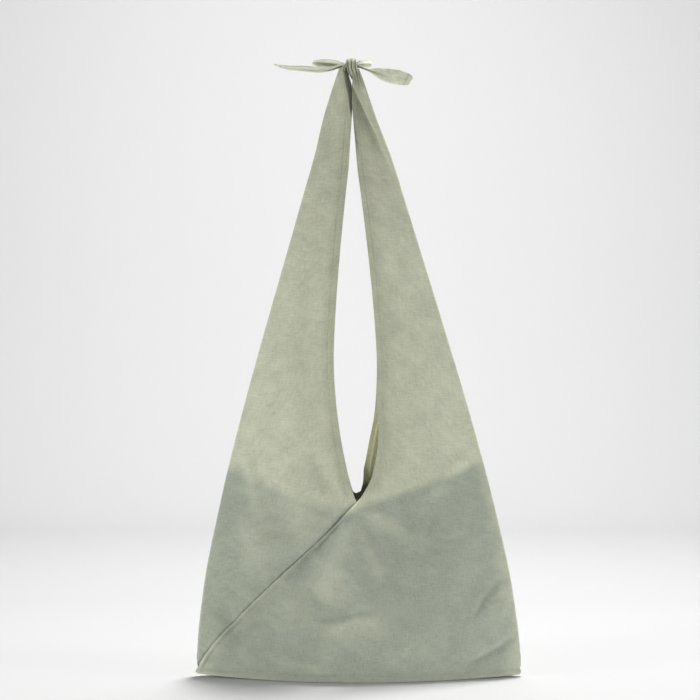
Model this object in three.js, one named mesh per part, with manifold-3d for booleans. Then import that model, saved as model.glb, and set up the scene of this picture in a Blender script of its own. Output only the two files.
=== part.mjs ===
// A linen knot bag. Two cloths wrap round the sides, meet along a diagonal seam on the front and another on
// the back, and rise into two folded straps that are tied together in a small bow.
// Millimetres, +Z up, +X to the right of the front, +Y to the back. The origin is the point just under the
// knot where a hook or a hand carries the bag.
import * as THREE from "three";
import Module from "manifold-3d";

const wasm = await Module();
wasm.setup();

// Pouch. Heights here and below are taken from the underside of the base.
const baseWidth = 360;
const baseHalfDepth = 42;
const bellyHeight = 45;
const bellyHalfDepth = 46;
const flankHeight = 92;
const flankHalfWidth = 172;
const mouthHeight = 199;
const mouthHalfWidth = 150;
const mouthHalfDepth = 15;

// Straps. They bend over along the crease, where their two layers lie flat together.
const creaseHeight = 287;
const creaseHalfWidth = 127.5;
const creaseRadius = 1.2;
const strapMidHeight = 476;
const strapMidHalfWidth = 72.5;
const strapMidHalfDepth = 4.5;
const strapTopHeight = 664;
const strapTopHalfWidth = 14;
const strapTopHalfDepth = 3.2;
const rolledEndRadius = 1.8;

// The gap between the straps, a pointed drop that stands on the mouth.
const gapHalfWidth = 23.9;
const gapWidestHeight = 352;
const gapTopHeight = 602;
const gapFootShape = 0.85;
const gapTopShape = 1.4;

// The bag hangs a little to one side: the knot stands this far off the middle of the base.
const hangLean = -8;

// Cloth, facings, lining and seams.
const clothThickness = 0.9;
const facingThickness = 0.45;
const facingWidth = 10;
const facingGap = 0.15;
const facingStart = 4;
const facingTopDrop = 28;
const liningThickness = 0.8;
const liningGap = 1.8;
const liningSideReach = 0.18;
const liningMiddleDrop = 6;
const liningSideRise = 38;
const seamBow = 1.19;
const seamGap = 0.5;
const fit = 0.3;

// How the cloth turns round each side: radius as a share of the half depth, and share of the half width.
const sideBendShare = 0.14;
const sideBendReach = 0.06;

// The main folds of the filled pouch. Each runs between two places on the front, given as distance to the
// right of the middle and height, with its half width and how far it stands out. The back has the same folds,
// turned round.
const folds = [
  { name: "bulge under the mouth", from: [-6, 180], to: [-44, 84], halfWidth: 17, rise: 4.4 },
  { name: "hollow right of middle", from: [34, 168], to: [66, 66], halfWidth: 22, rise: -5.5 },
  { name: "bulge of the right flank", from: [126, 190], to: [100, 84], halfWidth: 18, rise: 4 },
  { name: "pull to the lower right corner", from: [166, 60], to: [104, 32], halfWidth: 17, rise: 3.4 },
  { name: "hollow of the left flank", from: [-104, 252], to: [-94, 170], halfWidth: 20, rise: -3.4 },
  { name: "bulge beside the left flank", from: [-62, 230], to: [-58, 150], halfWidth: 18, rise: 3 },
  { name: "hollow over the lower left edge", from: [-118, 54], to: [-52, 26], halfWidth: 18, rise: -3.2 },
  { name: "bulge over the base", from: [-36, 54], to: [30, 66], halfWidth: 16, rise: 2.8 },
  { name: "hollow under the right strap", from: [106, 258], to: [54, 206], halfWidth: 17, rise: -3.2 },
];
const foldEndTaper = 0.25;
const foldFootHeight = 24;
const foldFullDepth = 16;

// Knot, tails and bow loops.
const knotRise = 13;
const knotTurnRadius = 3.4;
const knotStrandHalfWidth = 4.1;
const knotStrandHalfThickness = 2.9;
const knotTurnEndDrop = 5;
const knotFootRise = 3;
const leftTailLength = 75;
const leftTailDip = 4;
const rightTailLength = 54;
const rightTailDrop = 15;
const tailRootRadius = 2;
const tailHalfThickness = 1.6;
const tailHalfWidth = 7.6;
const tailFrontOffset = 2;
const tailSwellShape = 1.5;
const tailNeckShare = 0.33;
const loopLength = 42;
const loopHalfGap = 3.5;
const loopBandWidth = 8;
const loopRootBandWidth = 1.2;
const loopOpenTurn = 0.9;
const loopSeatGap = 0.45;

// How finely the curved surfaces are divided.
const pouchSteps = { before: 16, round: 6, after: 9 };
const pouchRows = { belowMouth: 12, aboveMouth: 6 };
const strapSteps = { before: 5, round: 6, after: 5 };
const ringPoints = 12;

const knotHeight = strapTopHeight + knotRise;

// Smooth curve through [height, value] points, without overshoot between them.
function smoothThrough(points) {
  const secants = points.slice(1).map(([z, value], i) => (value - points[i][1]) / (z - points[i][0]));
  const slopes = points.map((point, i) => {
    const before = secants[Math.max(i - 1, 0)];
    const after = secants[Math.min(i, secants.length - 1)];
    return before * after > 0 ? (2 * before * after) / (before + after) : 0;
  });
  return (height) => {
    let i = 0;
    while (i < points.length - 2 && height > points[i + 1][0]) {
      i += 1;
    }
    const [z0, value0] = points[i];
    const [z1, value1] = points[i + 1];
    const span = z1 - z0;
    const t = (height - z0) / span;
    const rest = 1 - t;
    const fromStart = (1 + 2 * t) * rest * rest * value0 + t * rest * rest * span * slopes[i];
    const fromEnd = t * t * (3 - 2 * t) * value1 - t * t * rest * span * slopes[i + 1];
    return fromStart + fromEnd;
  };
}

const outerHalfWidth = smoothThrough([
  [0, baseWidth / 2],
  [flankHeight, flankHalfWidth],
  [mouthHeight, mouthHalfWidth],
  [creaseHeight, creaseHalfWidth],
  [strapMidHeight, strapMidHalfWidth],
  [strapTopHeight, strapTopHalfWidth],
]);

const halfDepth = smoothThrough([
  [0, baseHalfDepth],
  [bellyHeight, bellyHalfDepth],
  [mouthHeight, mouthHalfDepth],
  [creaseHeight, creaseRadius],
  [strapMidHeight, strapMidHalfDepth],
  [strapTopHeight, strapTopHalfDepth],
]);

// The pouch cloth stops just clear of the rolled end of the strap, so that it can swing about the crease.
const pouchTopHeight = creaseHeight - Math.sqrt(
  (rolledEndRadius + fit) ** 2 - (creaseRadius - clothThickness / 2) ** 2,
);

function centreX(height) {
  return (hangLean * height) / knotHeight;
}

function gapHalf(height) {
  if (height <= mouthHeight) {
    return 0;
  }
  if (height < gapWidestHeight) {
    const rise = (height - mouthHeight) / (gapWidestHeight - mouthHeight);
    return gapHalfWidth * Math.sin((rise * Math.PI) / 2) ** gapFootShape;
  }
  const rise = (height - gapWidestHeight) / (gapTopHeight - gapWidestHeight);
  return Math.max(2 * fit, gapHalfWidth * (1 - rise ** gapTopShape));
}

// Distance from the middle line and half depth of the cloth. Reach is 0 at the outer edge of the bag and 1 at
// the middle of the pouch or the inner edge of a strap.
function halfSection(reach, height) {
  const half = outerHalfWidth(height);
  const depth = halfDepth(height);
  const bend = Math.max(creaseRadius, depth * sideBendShare);
  if (reach < sideBendReach) {
    const turn = (Math.PI / 2) * (reach / sideBendReach);
    return [half - bend * (1 - Math.cos(turn)), bend * Math.sin(turn)];
  }
  const run = (reach - sideBendReach) / (1 - sideBendReach);
  const width = half - bend - gapHalf(height);
  return [half - bend - width * run, bend + (depth - bend) * Math.sin((run * Math.PI) / 2)];
}

// Eased step from 0 to 1 as a value goes from one limit to the other.
function ease(from, to, value) {
  return THREE.MathUtils.smoothstep((value - from) / (to - from), 0, 1);
}

// How far the folds lift cloth of a half depth outward. They fade out towards the base and where the pouch is
// flat, at its sides and at the crease.
function foldLift(x, height, depth) {
  const lifts = folds.map(({ from, to, halfWidth, rise }) => {
    const [runX, runZ] = [to[0] - from[0], to[1] - from[1]];
    const length = Math.hypot(runX, runZ);
    const along = ((x - from[0]) * runX + (height - from[1]) * runZ) / length ** 2;
    const off = ((x - from[0]) * runZ - (height - from[1]) * runX) / length;
    const taper = ease(-foldEndTaper, foldEndTaper, along) * ease(1 + foldEndTaper, 1 - foldEndTaper, along);
    return rise * taper * Math.exp(-((off / halfWidth) ** 2));
  });
  const fade = ease(0, foldFootHeight, height) * ease(0, foldFullDepth, depth);
  return fade * lifts.reduce((total, lift) => total + lift, 0);
}

// A point of the cloth. Around runs from 0 to 1 over the front, left edge to right edge, and from 1 to 2 over
// the back, right edge to left edge. Inset moves the point towards the middle plane of the bag.
function clothPoint(around, height, inset = 0) {
  const turn = ((around % 2) + 2) % 2;
  const face = turn < 1 ? -1 : 1;
  const across = turn < 1 ? turn : 2 - turn;
  const side = across < 0.5 ? -1 : 1;
  const [out, depth] = halfSection(2 * Math.min(across, 1 - across), height);
  const folded = depth + foldLift(-face * side * out, height, depth);
  return new THREE.Vector3(centreX(height) + side * out, face * (folded - inset), height);
}

// Where the front seam stands at a height. The back seam stands a whole front further round.
function seamAround(height) {
  const rise = Math.min(height / mouthHeight, 1);
  return Math.max(sideBendReach / 5, 0.5 * rise ** seamBow);
}

function spread(from, to, steps) {
  return Array.from({ length: steps + 1 }, (unused, i) => from + ((to - from) * i) / steps);
}

// Closed geometry from points and triangles, turned to face outward.
function closedGeometry(points, triangles) {
  let sixVolumes = 0;
  for (const [a, b, c] of triangles) {
    sixVolumes += points[a].dot(new THREE.Vector3().crossVectors(points[b], points[c]));
  }
  const faces = sixVolumes > 0 ? triangles : triangles.map(([a, b, c]) => [a, c, b]);
  const geometry = new THREE.BufferGeometry();
  geometry.setAttribute("position", new THREE.Float32BufferAttribute(points.flatMap((p) => p.toArray()), 3));
  geometry.setIndex(faces.flat());
  return geometry;
}

// Sheet of even thickness about a grid of middle points, grid[row][column].
function sheet(grid, thickness) {
  const rows = grid.length;
  const columns = grid[0].length;
  const within = (index, count) => Math.min(Math.max(index, 0), count - 1);
  const at = (row, column) => grid[within(row, rows)][within(column, columns)];
  const points = [];
  for (const sign of [1, -1]) {
    for (let row = 0; row < rows; row += 1) {
      for (let column = 0; column < columns; column += 1) {
        const up = at(row + 1, column).clone().sub(at(row - 1, column));
        const along = at(row, column + 1).clone().sub(at(row, column - 1));
        const normal = up.cross(along).normalize();
        points.push(at(row, column).clone().addScaledVector(normal, (sign * thickness) / 2));
      }
    }
  }
  const below = rows * columns;
  const index = (row, column) => row * columns + column;
  const triangles = [];
  const quad = (a, b, c, d) => triangles.push([a, b, c], [a, c, d]);
  for (let row = 0; row < rows - 1; row += 1) {
    for (let column = 0; column < columns - 1; column += 1) {
      const corners = [
        index(row, column),
        index(row + 1, column),
        index(row + 1, column + 1),
        index(row, column + 1),
      ];
      quad(...corners);
      quad(...corners.map((corner) => corner + below).reverse());
    }
  }
  const rim = [];
  for (let column = 0; column < columns - 1; column += 1) {
    rim.push([index(0, column), index(0, column + 1)]);
    rim.push([index(rows - 1, column + 1), index(rows - 1, column)]);
  }
  for (let row = 0; row < rows - 1; row += 1) {
    rim.push([index(row, columns - 1), index(row + 1, columns - 1)]);
    rim.push([index(row + 1, 0), index(row, 0)]);
  }
  for (const [from, to] of rim) {
    quad(from, to, to + below, from + below);
  }
  return closedGeometry(points, triangles);
}

// Solid through a row of rings with equal counts of points, closed by a flat fan at each end.
function loft(rings) {
  const count = rings[0].length;
  const points = rings.flat();
  const triangles = [];
  for (let ring = 0; ring < rings.length - 1; ring += 1) {
    for (let i = 0; i < count; i += 1) {
      const next = (i + 1) % count;
      const [a, b] = [ring * count + i, ring * count + next];
      triangles.push([a, b, b + count], [a, b + count, a + count]);
    }
  }
  const last = (rings.length - 1) * count;
  for (let i = 1; i < count - 1; i += 1) {
    triangles.push([0, i + 1, i], [last, last + i, last + i + 1]);
  }
  return closedGeometry(points, triangles);
}

// Ring of points about a centre, with its half width along one vector and its half thickness along the other.
function ellipseRing(centre, halfWidth, halfThickness) {
  const angles = spread(0, 2 * Math.PI, ringPoints).slice(0, ringPoints);
  return angles.map((angle) => centre.clone()
    .addScaledVector(halfWidth, Math.cos(angle))
    .addScaledVector(halfThickness, Math.sin(angle)));
}

function toManifold(geometry) {
  return new wasm.Manifold(new wasm.Mesh({
    numProp: 3,
    vertProperties: new Float32Array(geometry.attributes.position.array),
    triVerts: new Uint32Array(geometry.index.array),
  }));
}

function joined(first, second) {
  const mesh = toManifold(first).add(toManifold(second)).getMesh();
  const geometry = new THREE.BufferGeometry();
  geometry.setAttribute("position", new THREE.Float32BufferAttribute(mesh.vertProperties, 3));
  geometry.setIndex(new THREE.Uint32BufferAttribute(mesh.triVerts, 1));
  return geometry;
}

// Where the side edge that each cloth wraps stands round the bag.
const rightEdge = 1;
const leftEdge = 2;

// Share of the way round that each cloth edge stands back from the middle of its seam.
const seamTrim = seamGap / (2 * baseWidth);

// Columns of a cloth from one seam or hem to the other, closer together where the cloth turns round the side
// edge. The steps count the columns before, round and after the side edge.
function clothColumns(start, edge, end, steps) {
  const bend = sideBendReach / 2;
  const bendEnd = edge + Math.min(bend, (end - edge) / 2);
  return [
    ...spread(start, edge - bend, steps.before),
    ...spread(edge - bend, bendEnd, steps.round).slice(1),
    ...spread(bendEnd, end, steps.after).slice(1),
  ];
}

// The part of a cloth that belongs to the pouch, from the base up to the crease of its strap.
function pouchCloth(edge) {
  const heights = [
    ...spread(clothThickness + fit, mouthHeight, pouchRows.belowMouth),
    ...spread(mouthHeight, pouchTopHeight, pouchRows.aboveMouth).slice(1),
  ];
  const grid = heights.map((height) => {
    const start = edge - 1 + seamAround(height) + seamTrim;
    const end = edge + seamAround(height) - seamTrim;
    return clothColumns(start, edge, end, pouchSteps).map((around) => clothPoint(around, height));
  });
  return sheet(grid, clothThickness);
}

// A folded strap, open towards the gap, with its two layers rolled together at the crease.
function strap(edge) {
  const side = edge === rightEdge ? 1 : -1;
  const heights = spread(creaseHeight, strapTopHeight, 14);
  const columns = clothColumns(edge - 0.5 + seamTrim, edge, edge + 0.5 - seamTrim, strapSteps);
  const grid = heights.map((height) => columns.map((around) => clothPoint(around, height)));
  const ends = [gapHalf(creaseHeight), outerHalfWidth(creaseHeight)];
  const rings = ends.map((out) => ellipseRing(
    new THREE.Vector3(centreX(creaseHeight) + side * out, 0, creaseHeight),
    new THREE.Vector3(0, rolledEndRadius, 0),
    new THREE.Vector3(0, 0, rolledEndRadius),
  ));
  return joined(sheet(grid, clothThickness), loft(rings));
}

// The pointed oval bottom that the cloths are sewn to.
function basePanel() {
  const count = 56;
  const outline = spread(0, 2, count).slice(0, count).map((around) => clothPoint(around, 0));
  const grow = 1 + clothThickness / baseWidth;
  const ring = (height) => outline.map((p) => new THREE.Vector3(p.x * grow, p.y * grow, height));
  return loft([ring(0), ring(clothThickness)]);
}

// Lining of one face. Its top edge dips under the mouth and climbs towards the sides.
function lining(face) {
  const start = face === "front" ? 0 : 1;
  const inset = (clothThickness + liningThickness) / 2 + liningGap;
  const foot = clothThickness + fit;
  const grid = spread(0, 1, 12).map((rise) =>
    spread(start + liningSideReach / 2, start + 1 - liningSideReach / 2, 24).map((around) => {
      const sideways = Math.abs(2 * (around - start) - 1);
      const top = mouthHeight - liningMiddleDrop + liningSideRise * sideways;
      return clothPoint(around, foot + (top - foot) * rise, inset);
    }));
  return sheet(grid, liningThickness);
}

// The bias strip that finishes an inner edge of a strap, on the inside of the cloth.
function facing(side, face, bottom, top) {
  const inset = (clothThickness + facingThickness) / 2 + facingGap;
  const grid = spread(bottom, top, 10).map((height) => {
    const width = outerHalfWidth(height) - gapHalf(height);
    const reach = Math.min(facingWidth / width, 0.5);
    return spread(1 - reach, 1 - fit / width, 2).map((reached) => {
      const across = side < 0 ? reached / 2 : 1 - reached / 2;
      return clothPoint(face < 0 ? across : 2 - across, height, inset);
    });
  });
  return sheet(grid, facingThickness);
}

const knotCentre = new THREE.Vector3(hangLean, 0, knotHeight);

// One strap end turned over in the knot. The left one climbs the front and the right one climbs the back.
function knotTurn(side) {
  const x = side * (knotStrandHalfWidth + fit);
  const climb = side;
  const place = (y, z) => knotCentre.clone().add(new THREE.Vector3(x, climb * y, z));
  const over = spread(Math.PI, 0, 6).map((angle) =>
    place(-knotTurnRadius * Math.cos(angle), knotTurnRadius * Math.sin(angle)));
  const footHeight = strapTopHeight + 2 * fit - knotHeight;
  const feet = [place(0, footHeight), place(0, footHeight + knotFootRise)];
  const end = place(-knotTurnRadius, -knotTurnEndDrop);
  const path = new THREE.CatmullRomCurve3([...feet, ...over, end]);
  const width = new THREE.Vector3(knotStrandHalfWidth, 0, 0);
  const rings = spread(0, 1, 18).map((t) => {
    const outward = path.getTangentAt(t).cross(new THREE.Vector3(1, 0, 0));
    return ellipseRing(path.getPointAt(t), width, outward.setLength(knotStrandHalfThickness));
  });
  return loft(rings);
}

// Shape of each tail: the stops of its run as shares of its length and of its drop, its slant about its
// length, and how much of its width it keeps at the tip.
const tails = {
  left: {
    side: -1,
    length: leftTailLength,
    drop: leftTailDip,
    run: [[0.27, 1], [0.63, 0.75], [1, 0]],
    slant: 1,
    tipShare: 0.14,
  },
  right: {
    side: 1,
    length: rightTailLength,
    drop: rightTailDrop,
    run: [[0.22, 0.13], [0.6, 0.53], [1, 1]],
    slant: 0.2,
    tipShare: 0.6,
  },
};

function tailRoot(side) {
  const out = 2 * knotStrandHalfWidth + 2 * fit + tailRootRadius;
  return knotCentre.clone().add(new THREE.Vector3(side * out, -tailFrontOffset, 0));
}

// A loose strap end beyond the knot, a folded leaf of cloth with a round root.
function tail({ side, length, drop, run, slant, tipShare }) {
  const root = tailRoot(side);
  const stops = run.map(([out, down]) =>
    root.clone().add(new THREE.Vector3(side * out * length, 0, -down * drop)));
  const path = new THREE.CatmullRomCurve3([root, ...stops]);
  const widthWay = new THREE.Vector3(0, -Math.sin(slant), Math.cos(slant));
  const rootRings = spread(0.45 * Math.PI, 0, 2).slice(0, 2).map((angle) => {
    const centre = root.clone().add(new THREE.Vector3(-side * tailRootRadius * Math.sin(angle), 0, 0));
    const radius = tailRootRadius * Math.cos(angle);
    return [centre, radius, radius];
  });
  const leafRings = spread(0, 1, 12).map((t) => {
    const swell = Math.sin(Math.PI * Math.min(t, 0.5)) ** tailSwellShape;
    const narrowing = 1 - (1 - tipShare) * Math.max(0, 2 * t - 1) ** 2;
    const halfWidth = (tailRootRadius + (tailHalfWidth - tailRootRadius) * swell) * narrowing;
    const pastNeck = Math.min(1, t / tailNeckShare);
    const halfThickness = tailRootRadius + (tailHalfThickness - tailRootRadius) * pastNeck;
    return [path.getPointAt(t), halfWidth, Math.min(halfWidth, halfThickness)];
  });
  const thicknessWay = new THREE.Vector3(0, Math.cos(slant), Math.sin(slant));
  const rings = [...rootRings, ...leafRings].map(([centre, halfWidth, halfThickness]) => ellipseRing(
    centre,
    widthWay.clone().setLength(halfWidth),
    thicknessWay.clone().setLength(halfThickness),
  ));
  return loft(rings);
}

// The way that each bow loop points from the back of the knot, as an angle round Z from +Y.
const loopTurn = { left: 1.1, right: -0.5 };

// A loop of the bow, a band of cloth that leaves the back of the knot, turns over and comes back.
function bowLoop(side) {
  const sign = side === "left" ? -1 : 1;
  const zAxis = new THREE.Vector3(0, 0, 1);
  const grid = [-0.5, 0.5].map((edge) =>
    spread(-loopOpenTurn * Math.PI, loopOpenTurn * Math.PI, 20).map((angle) => {
      const run = (1 + Math.cos(angle)) / 2;
      const band = loopRootBandWidth + (loopBandWidth - loopRootBandWidth) * Math.sin((run * Math.PI) / 2);
      return new THREE.Vector3(loopHalfGap * Math.sin(angle), loopLength * run, edge * band)
        .applyAxisAngle(zAxis, loopTurn[side]);
    }));
  const geometry = sheet(grid, clothThickness);
  geometry.computeBoundingBox();
  const knotBack = knotTurnRadius + knotStrandHalfThickness;
  const back = knotBack + loopSeatGap - geometry.boundingBox.min.y;
  return geometry.translate(knotCentre.x + sign * (knotStrandHalfWidth + fit), back, knotCentre.z);
}

const linenColour = 0xb7ba9f;
const liningColour = 0x8f9a88;
const facingColour = 0xa4a88f;

function piece(name, geometry, colour) {
  geometry.translate(-centreX(strapTopHeight), 0, -strapTopHeight);
  geometry.computeVertexNormals();
  const material = new THREE.MeshStandardMaterial({ color: colour, roughness: 0.9, metalness: 0 });
  const mesh = new THREE.Mesh(geometry, material);
  mesh.name = name;
  return mesh;
}

const bag = new THREE.Group();
bag.name = "knot_bag";
bag.add(
  piece("left_cloth", pouchCloth(leftEdge), linenColour),
  piece("right_cloth", pouchCloth(rightEdge), linenColour),
  piece("base_panel", basePanel(), linenColour),
  piece("front_lining", lining("front"), liningColour),
  piece("back_lining", lining("back"), liningColour),
  piece("left_strap", strap(leftEdge), linenColour),
  piece("right_strap", strap(rightEdge), linenColour),
  piece("left_knot_turn", knotTurn(-1), linenColour),
  piece("right_knot_turn", knotTurn(1), linenColour),
  piece("left_tail", tail(tails.left), linenColour),
  piece("right_tail", tail(tails.right), linenColour),
  piece("left_bow_loop", bowLoop("left"), linenColour),
  piece("right_bow_loop", bowLoop("right"), linenColour),
);
for (const [sideName, side] of [["left", -1], ["right", 1]]) {
  for (const [faceName, face] of [["front", -1], ["back", 1]]) {
    const onMouth = facing(side, face, mouthHeight + facingStart, pouchTopHeight);
    const onStrap = facing(side, face, creaseHeight + rolledEndRadius + fit, strapTopHeight - facingTopDrop);
    bag.add(
      piece(`${sideName}_${faceName}_mouth_facing`, onMouth, facingColour),
      piece(`${sideName}_${faceName}_strap_facing`, onStrap, facingColour),
    );
  }
}

export default bag;
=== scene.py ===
"""Looks of a linen knot bag: cloths, lining, facings, knot, tails and bow loops in a plain pale studio."""

from __future__ import annotations

import logging
import math
from dataclasses import dataclass
from enum import Enum

import bpy
import numpy as np
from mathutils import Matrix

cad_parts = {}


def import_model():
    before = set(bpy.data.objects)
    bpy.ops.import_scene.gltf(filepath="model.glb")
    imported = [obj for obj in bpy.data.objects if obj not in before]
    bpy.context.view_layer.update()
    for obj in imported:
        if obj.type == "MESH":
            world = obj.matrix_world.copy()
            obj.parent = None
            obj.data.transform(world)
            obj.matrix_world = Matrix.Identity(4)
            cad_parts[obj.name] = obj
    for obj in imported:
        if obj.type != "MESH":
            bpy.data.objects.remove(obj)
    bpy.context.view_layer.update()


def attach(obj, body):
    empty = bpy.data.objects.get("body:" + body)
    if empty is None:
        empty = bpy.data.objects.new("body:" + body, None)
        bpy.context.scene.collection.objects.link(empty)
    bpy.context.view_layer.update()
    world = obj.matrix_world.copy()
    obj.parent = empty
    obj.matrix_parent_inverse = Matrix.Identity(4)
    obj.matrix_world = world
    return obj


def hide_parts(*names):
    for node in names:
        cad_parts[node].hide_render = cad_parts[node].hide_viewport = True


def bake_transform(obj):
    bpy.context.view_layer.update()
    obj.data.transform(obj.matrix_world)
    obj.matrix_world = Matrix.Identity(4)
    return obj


LOG = logging.getLogger("knot_bag")

Pair = tuple[float, float]
Triple = tuple[float, float, float]
Rgb = tuple[int, int, int]

SMOOTH_ANGLE = math.radians(60.0)


class Side(Enum):
    """Side of the bag as seen from the front, with the way that it lies along X."""

    LEFT = -1
    RIGHT = 1


class Face(Enum):
    """Face of the bag, with the way that it looks along Y."""

    FRONT = -1
    BACK = 1


class FoldKind(Enum):
    """How the cloth stands along a fold: a rounded rise or dip, or a crest with a drop on one side."""

    ROUND = "round"
    CREST = "crest"


def ramp(low: float, high: float, value: np.ndarray) -> np.ndarray:
    """Ease from 0 to 1.

    Args:
        low: where the rise starts.
        high: where the rise ends, which may lie below its start.
        value: where the ramp is read.

    Returns:
        The eased share, from 0 to 1.
    """
    share = np.clip((value - low) / (high - low), 0.0, 1.0)
    return share * share * (3.0 - 2.0 * share)


def hump(rise: Pair, fall: Pair, value: np.ndarray) -> np.ndarray:
    """Ease from 0 to 1 over the rise and back to 0 over the fall."""
    return ramp(*rise, value) * ramp(*fall, value)


def bell(value: np.ndarray, middle: float, width: float | np.ndarray) -> np.ndarray:
    """Rounded bump of height 1 about a middle."""
    return np.exp(-(((value - middle) / width) ** 2))


def smooth_through(knots: tuple[Pair, ...], heights: np.ndarray) -> np.ndarray:
    """Read a smooth curve that never overshoots its knots.

    Args:
        knots: pairs of height and value, rising in height.
        heights: where the curve is read.

    Returns:
        The curve's values at the heights.
    """
    overrun = 0.2
    at = np.array([knot[0] for knot in knots])
    values = np.array([knot[1] for knot in knots])
    secants = np.diff(values) / np.diff(at)
    before = np.concatenate([secants[:1], secants])
    after = np.concatenate([secants, secants[-1:]])
    same_way = before * after > 0.0
    slopes = np.where(same_way, 2.0 * before * after / np.where(same_way, before + after, 1.0), 0.0)
    i = np.clip(np.searchsorted(at, heights) - 1, 0, len(at) - 2)
    span = at[i + 1] - at[i]
    t = np.clip((heights - at[i]) / span, -overrun, 1.0 + overrun)
    rest = 1.0 - t
    from_start = (1.0 + 2.0 * t) * rest**2 * values[i] + t * rest**2 * span * slopes[i]
    from_end = t**2 * (3.0 - 2.0 * t) * values[i + 1] - t**2 * rest * span * slopes[i + 1]
    return from_start + from_end


def soft_noise(u: np.ndarray, v: np.ndarray, wavelength: float, seed: int) -> np.ndarray:
    """Smooth seeded noise of about unit size, made of a few crossing waves.

    Args:
        u: first coordinate, in metres.
        v: second coordinate, in metres.
        wavelength: usual distance between crests, in metres.
        seed: which noise it is.

    Returns:
        The noise at each pair of coordinates.
    """
    waves = 10
    shortest = 0.7
    longest = 1.6
    rng = np.random.default_rng(seed)
    total = np.zeros(np.broadcast(u, v).shape)
    for _ in range(waves):
        angle = rng.uniform(0.0, 2.0 * math.pi)
        length = wavelength * rng.uniform(shortest, longest)
        phase = rng.uniform(0.0, 2.0 * math.pi)
        along = u * math.cos(angle) + v * math.sin(angle)
        total += np.cos(2.0 * math.pi * along / length + phase)
    return total / math.sqrt(2.0 * waves)


def unit(vectors: np.ndarray) -> np.ndarray:
    """Vectors of the same way and unit length."""
    return vectors / np.maximum(np.linalg.norm(vectors, axis=-1, keepdims=True), 1e-12)


def smooth_path(stops: tuple[Triple, ...], count: int) -> np.ndarray:
    """Points at even steps along a smooth curve through the stops.

    Args:
        stops: points that the curve passes.
        count: how many points are wanted.

    Returns:
        The points, one a row.
    """
    steps_between = 40
    fixed = np.array(stops)
    padded = np.concatenate([2.0 * fixed[:1] - fixed[1:2], fixed, 2.0 * fixed[-1:] - fixed[-2:-1]])
    t = np.linspace(0.0, 1.0, steps_between)[:, None]
    dense = []
    for i in range(len(fixed) - 1):
        a, b, c, d = padded[i : i + 4]
        bent = (2.0 * a - 5.0 * b + 4.0 * c - d) * t**2 + (3.0 * b - 3.0 * c + d - a) * t**3
        dense.append(0.5 * (2.0 * b + (c - a) * t + bent))
    points = np.concatenate(dense)
    steps = np.linalg.norm(np.diff(points, axis=0), axis=1)
    length = np.concatenate([[0.0], np.cumsum(steps)])
    wanted = np.linspace(0.0, length[-1], count)
    return np.stack([np.interp(wanted, length, points[:, axis]) for axis in range(3)], axis=1)


def path_ways(path: np.ndarray) -> np.ndarray:
    """The way that a path runs at each of its points, as unit vectors."""
    return unit(np.gradient(path, axis=0))


def square_to(tangent: np.ndarray, way: np.ndarray) -> np.ndarray:
    """Unit vectors that stand square to each tangent and lie nearest to one way."""
    return unit(way - tangent * (tangent @ way)[:, None])


def spread(offsets: np.ndarray, ways: np.ndarray) -> np.ndarray:
    """Moves of a grid's points by offsets, along one way for each row."""
    return offsets[..., None] * ways[:, None, :]


def linear(red: int, green: int, blue: int) -> tuple[float, float, float, float]:
    """Colour for a shader socket, by the sRGB curve from the 0 to 255 values that a screen shows."""
    shares = [value / 255.0 for value in (red, green, blue)]
    parts = [s / 12.92 if s <= 0.04045 else ((s + 0.055) / 1.055) ** 2.4 for s in shares]
    return parts[0], parts[1], parts[2], 1.0


def select_only(piece: bpy.types.Object) -> None:
    """Make one piece the only selected and the active one."""
    bpy.ops.object.select_all(action="DESELECT")
    piece.select_set(True)
    bpy.context.view_layer.objects.active = piece


def corner_points(mesh: bpy.types.Mesh) -> np.ndarray:
    """The number of the point at each corner of a mesh's faces."""
    corners = np.empty(len(mesh.loops), np.int32)
    mesh.loops.foreach_get("vertex_index", corners)
    return corners


def grid_piece(name: str, points: np.ndarray, uvs: np.ndarray) -> bpy.types.Object:
    """Lay a grid primitive over rows and columns of points.

    Args:
        name: name of the piece.
        points: points by row and column, in metres.
        uvs: flat cloth coordinates by row and column, in metres.

    Returns:
        The new piece.
    """
    rows, columns = points.shape[:2]
    bpy.ops.object.select_all(action="DESELECT")
    bpy.ops.mesh.primitive_grid_add(x_subdivisions=columns - 1, y_subdivisions=rows - 1, size=1.0)
    piece = bpy.context.object
    piece.name = name
    piece.data.name = name
    mesh = piece.data
    mesh.vertices.foreach_set("co", points.reshape(-1).astype(np.float32))
    corner_uvs = uvs.reshape(-1, 2)[corner_points(mesh)]
    mesh.uv_layers.active.data.foreach_set("uv", corner_uvs.reshape(-1).astype(np.float32))
    mesh.update()
    return piece


def flat_coordinates(points: np.ndarray, zero_columns: np.ndarray | None = None) -> np.ndarray:
    """Distances along the rows and up the columns of a grid, as flat cloth coordinates.

    Args:
        points: points by row and column, in metres.
        zero_columns: for each row, the column that its distances are taken from, the middle one if not given.

    Returns:
        Two coordinates for each point, in metres.
    """
    rows, columns = points.shape[:2]
    along = np.linalg.norm(np.diff(points, axis=1), axis=2)
    up = np.linalg.norm(np.diff(points, axis=0), axis=2).mean(axis=1)
    u = np.concatenate([np.zeros((rows, 1)), np.cumsum(along, axis=1)], axis=1)
    zeros = np.full(rows, (columns - 1) / 2.0) if zero_columns is None else zero_columns
    u -= np.array([np.interp(zero, np.arange(columns), row) for zero, row in zip(zeros, u)])[:, None]
    v = np.concatenate([[0.0], np.cumsum(up)])
    return np.stack([u, np.broadcast_to(v[:, None], u.shape)], axis=2)


def mark(piece: bpy.types.Object, name: str, values: np.ndarray) -> None:
    """Store one number for each vertex of a piece under a name that its finish reads."""
    attribute = piece.data.attributes.new(name=name, type="FLOAT", domain="POINT")
    attribute.data.foreach_set("value", values.reshape(-1).astype(np.float32))


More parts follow.
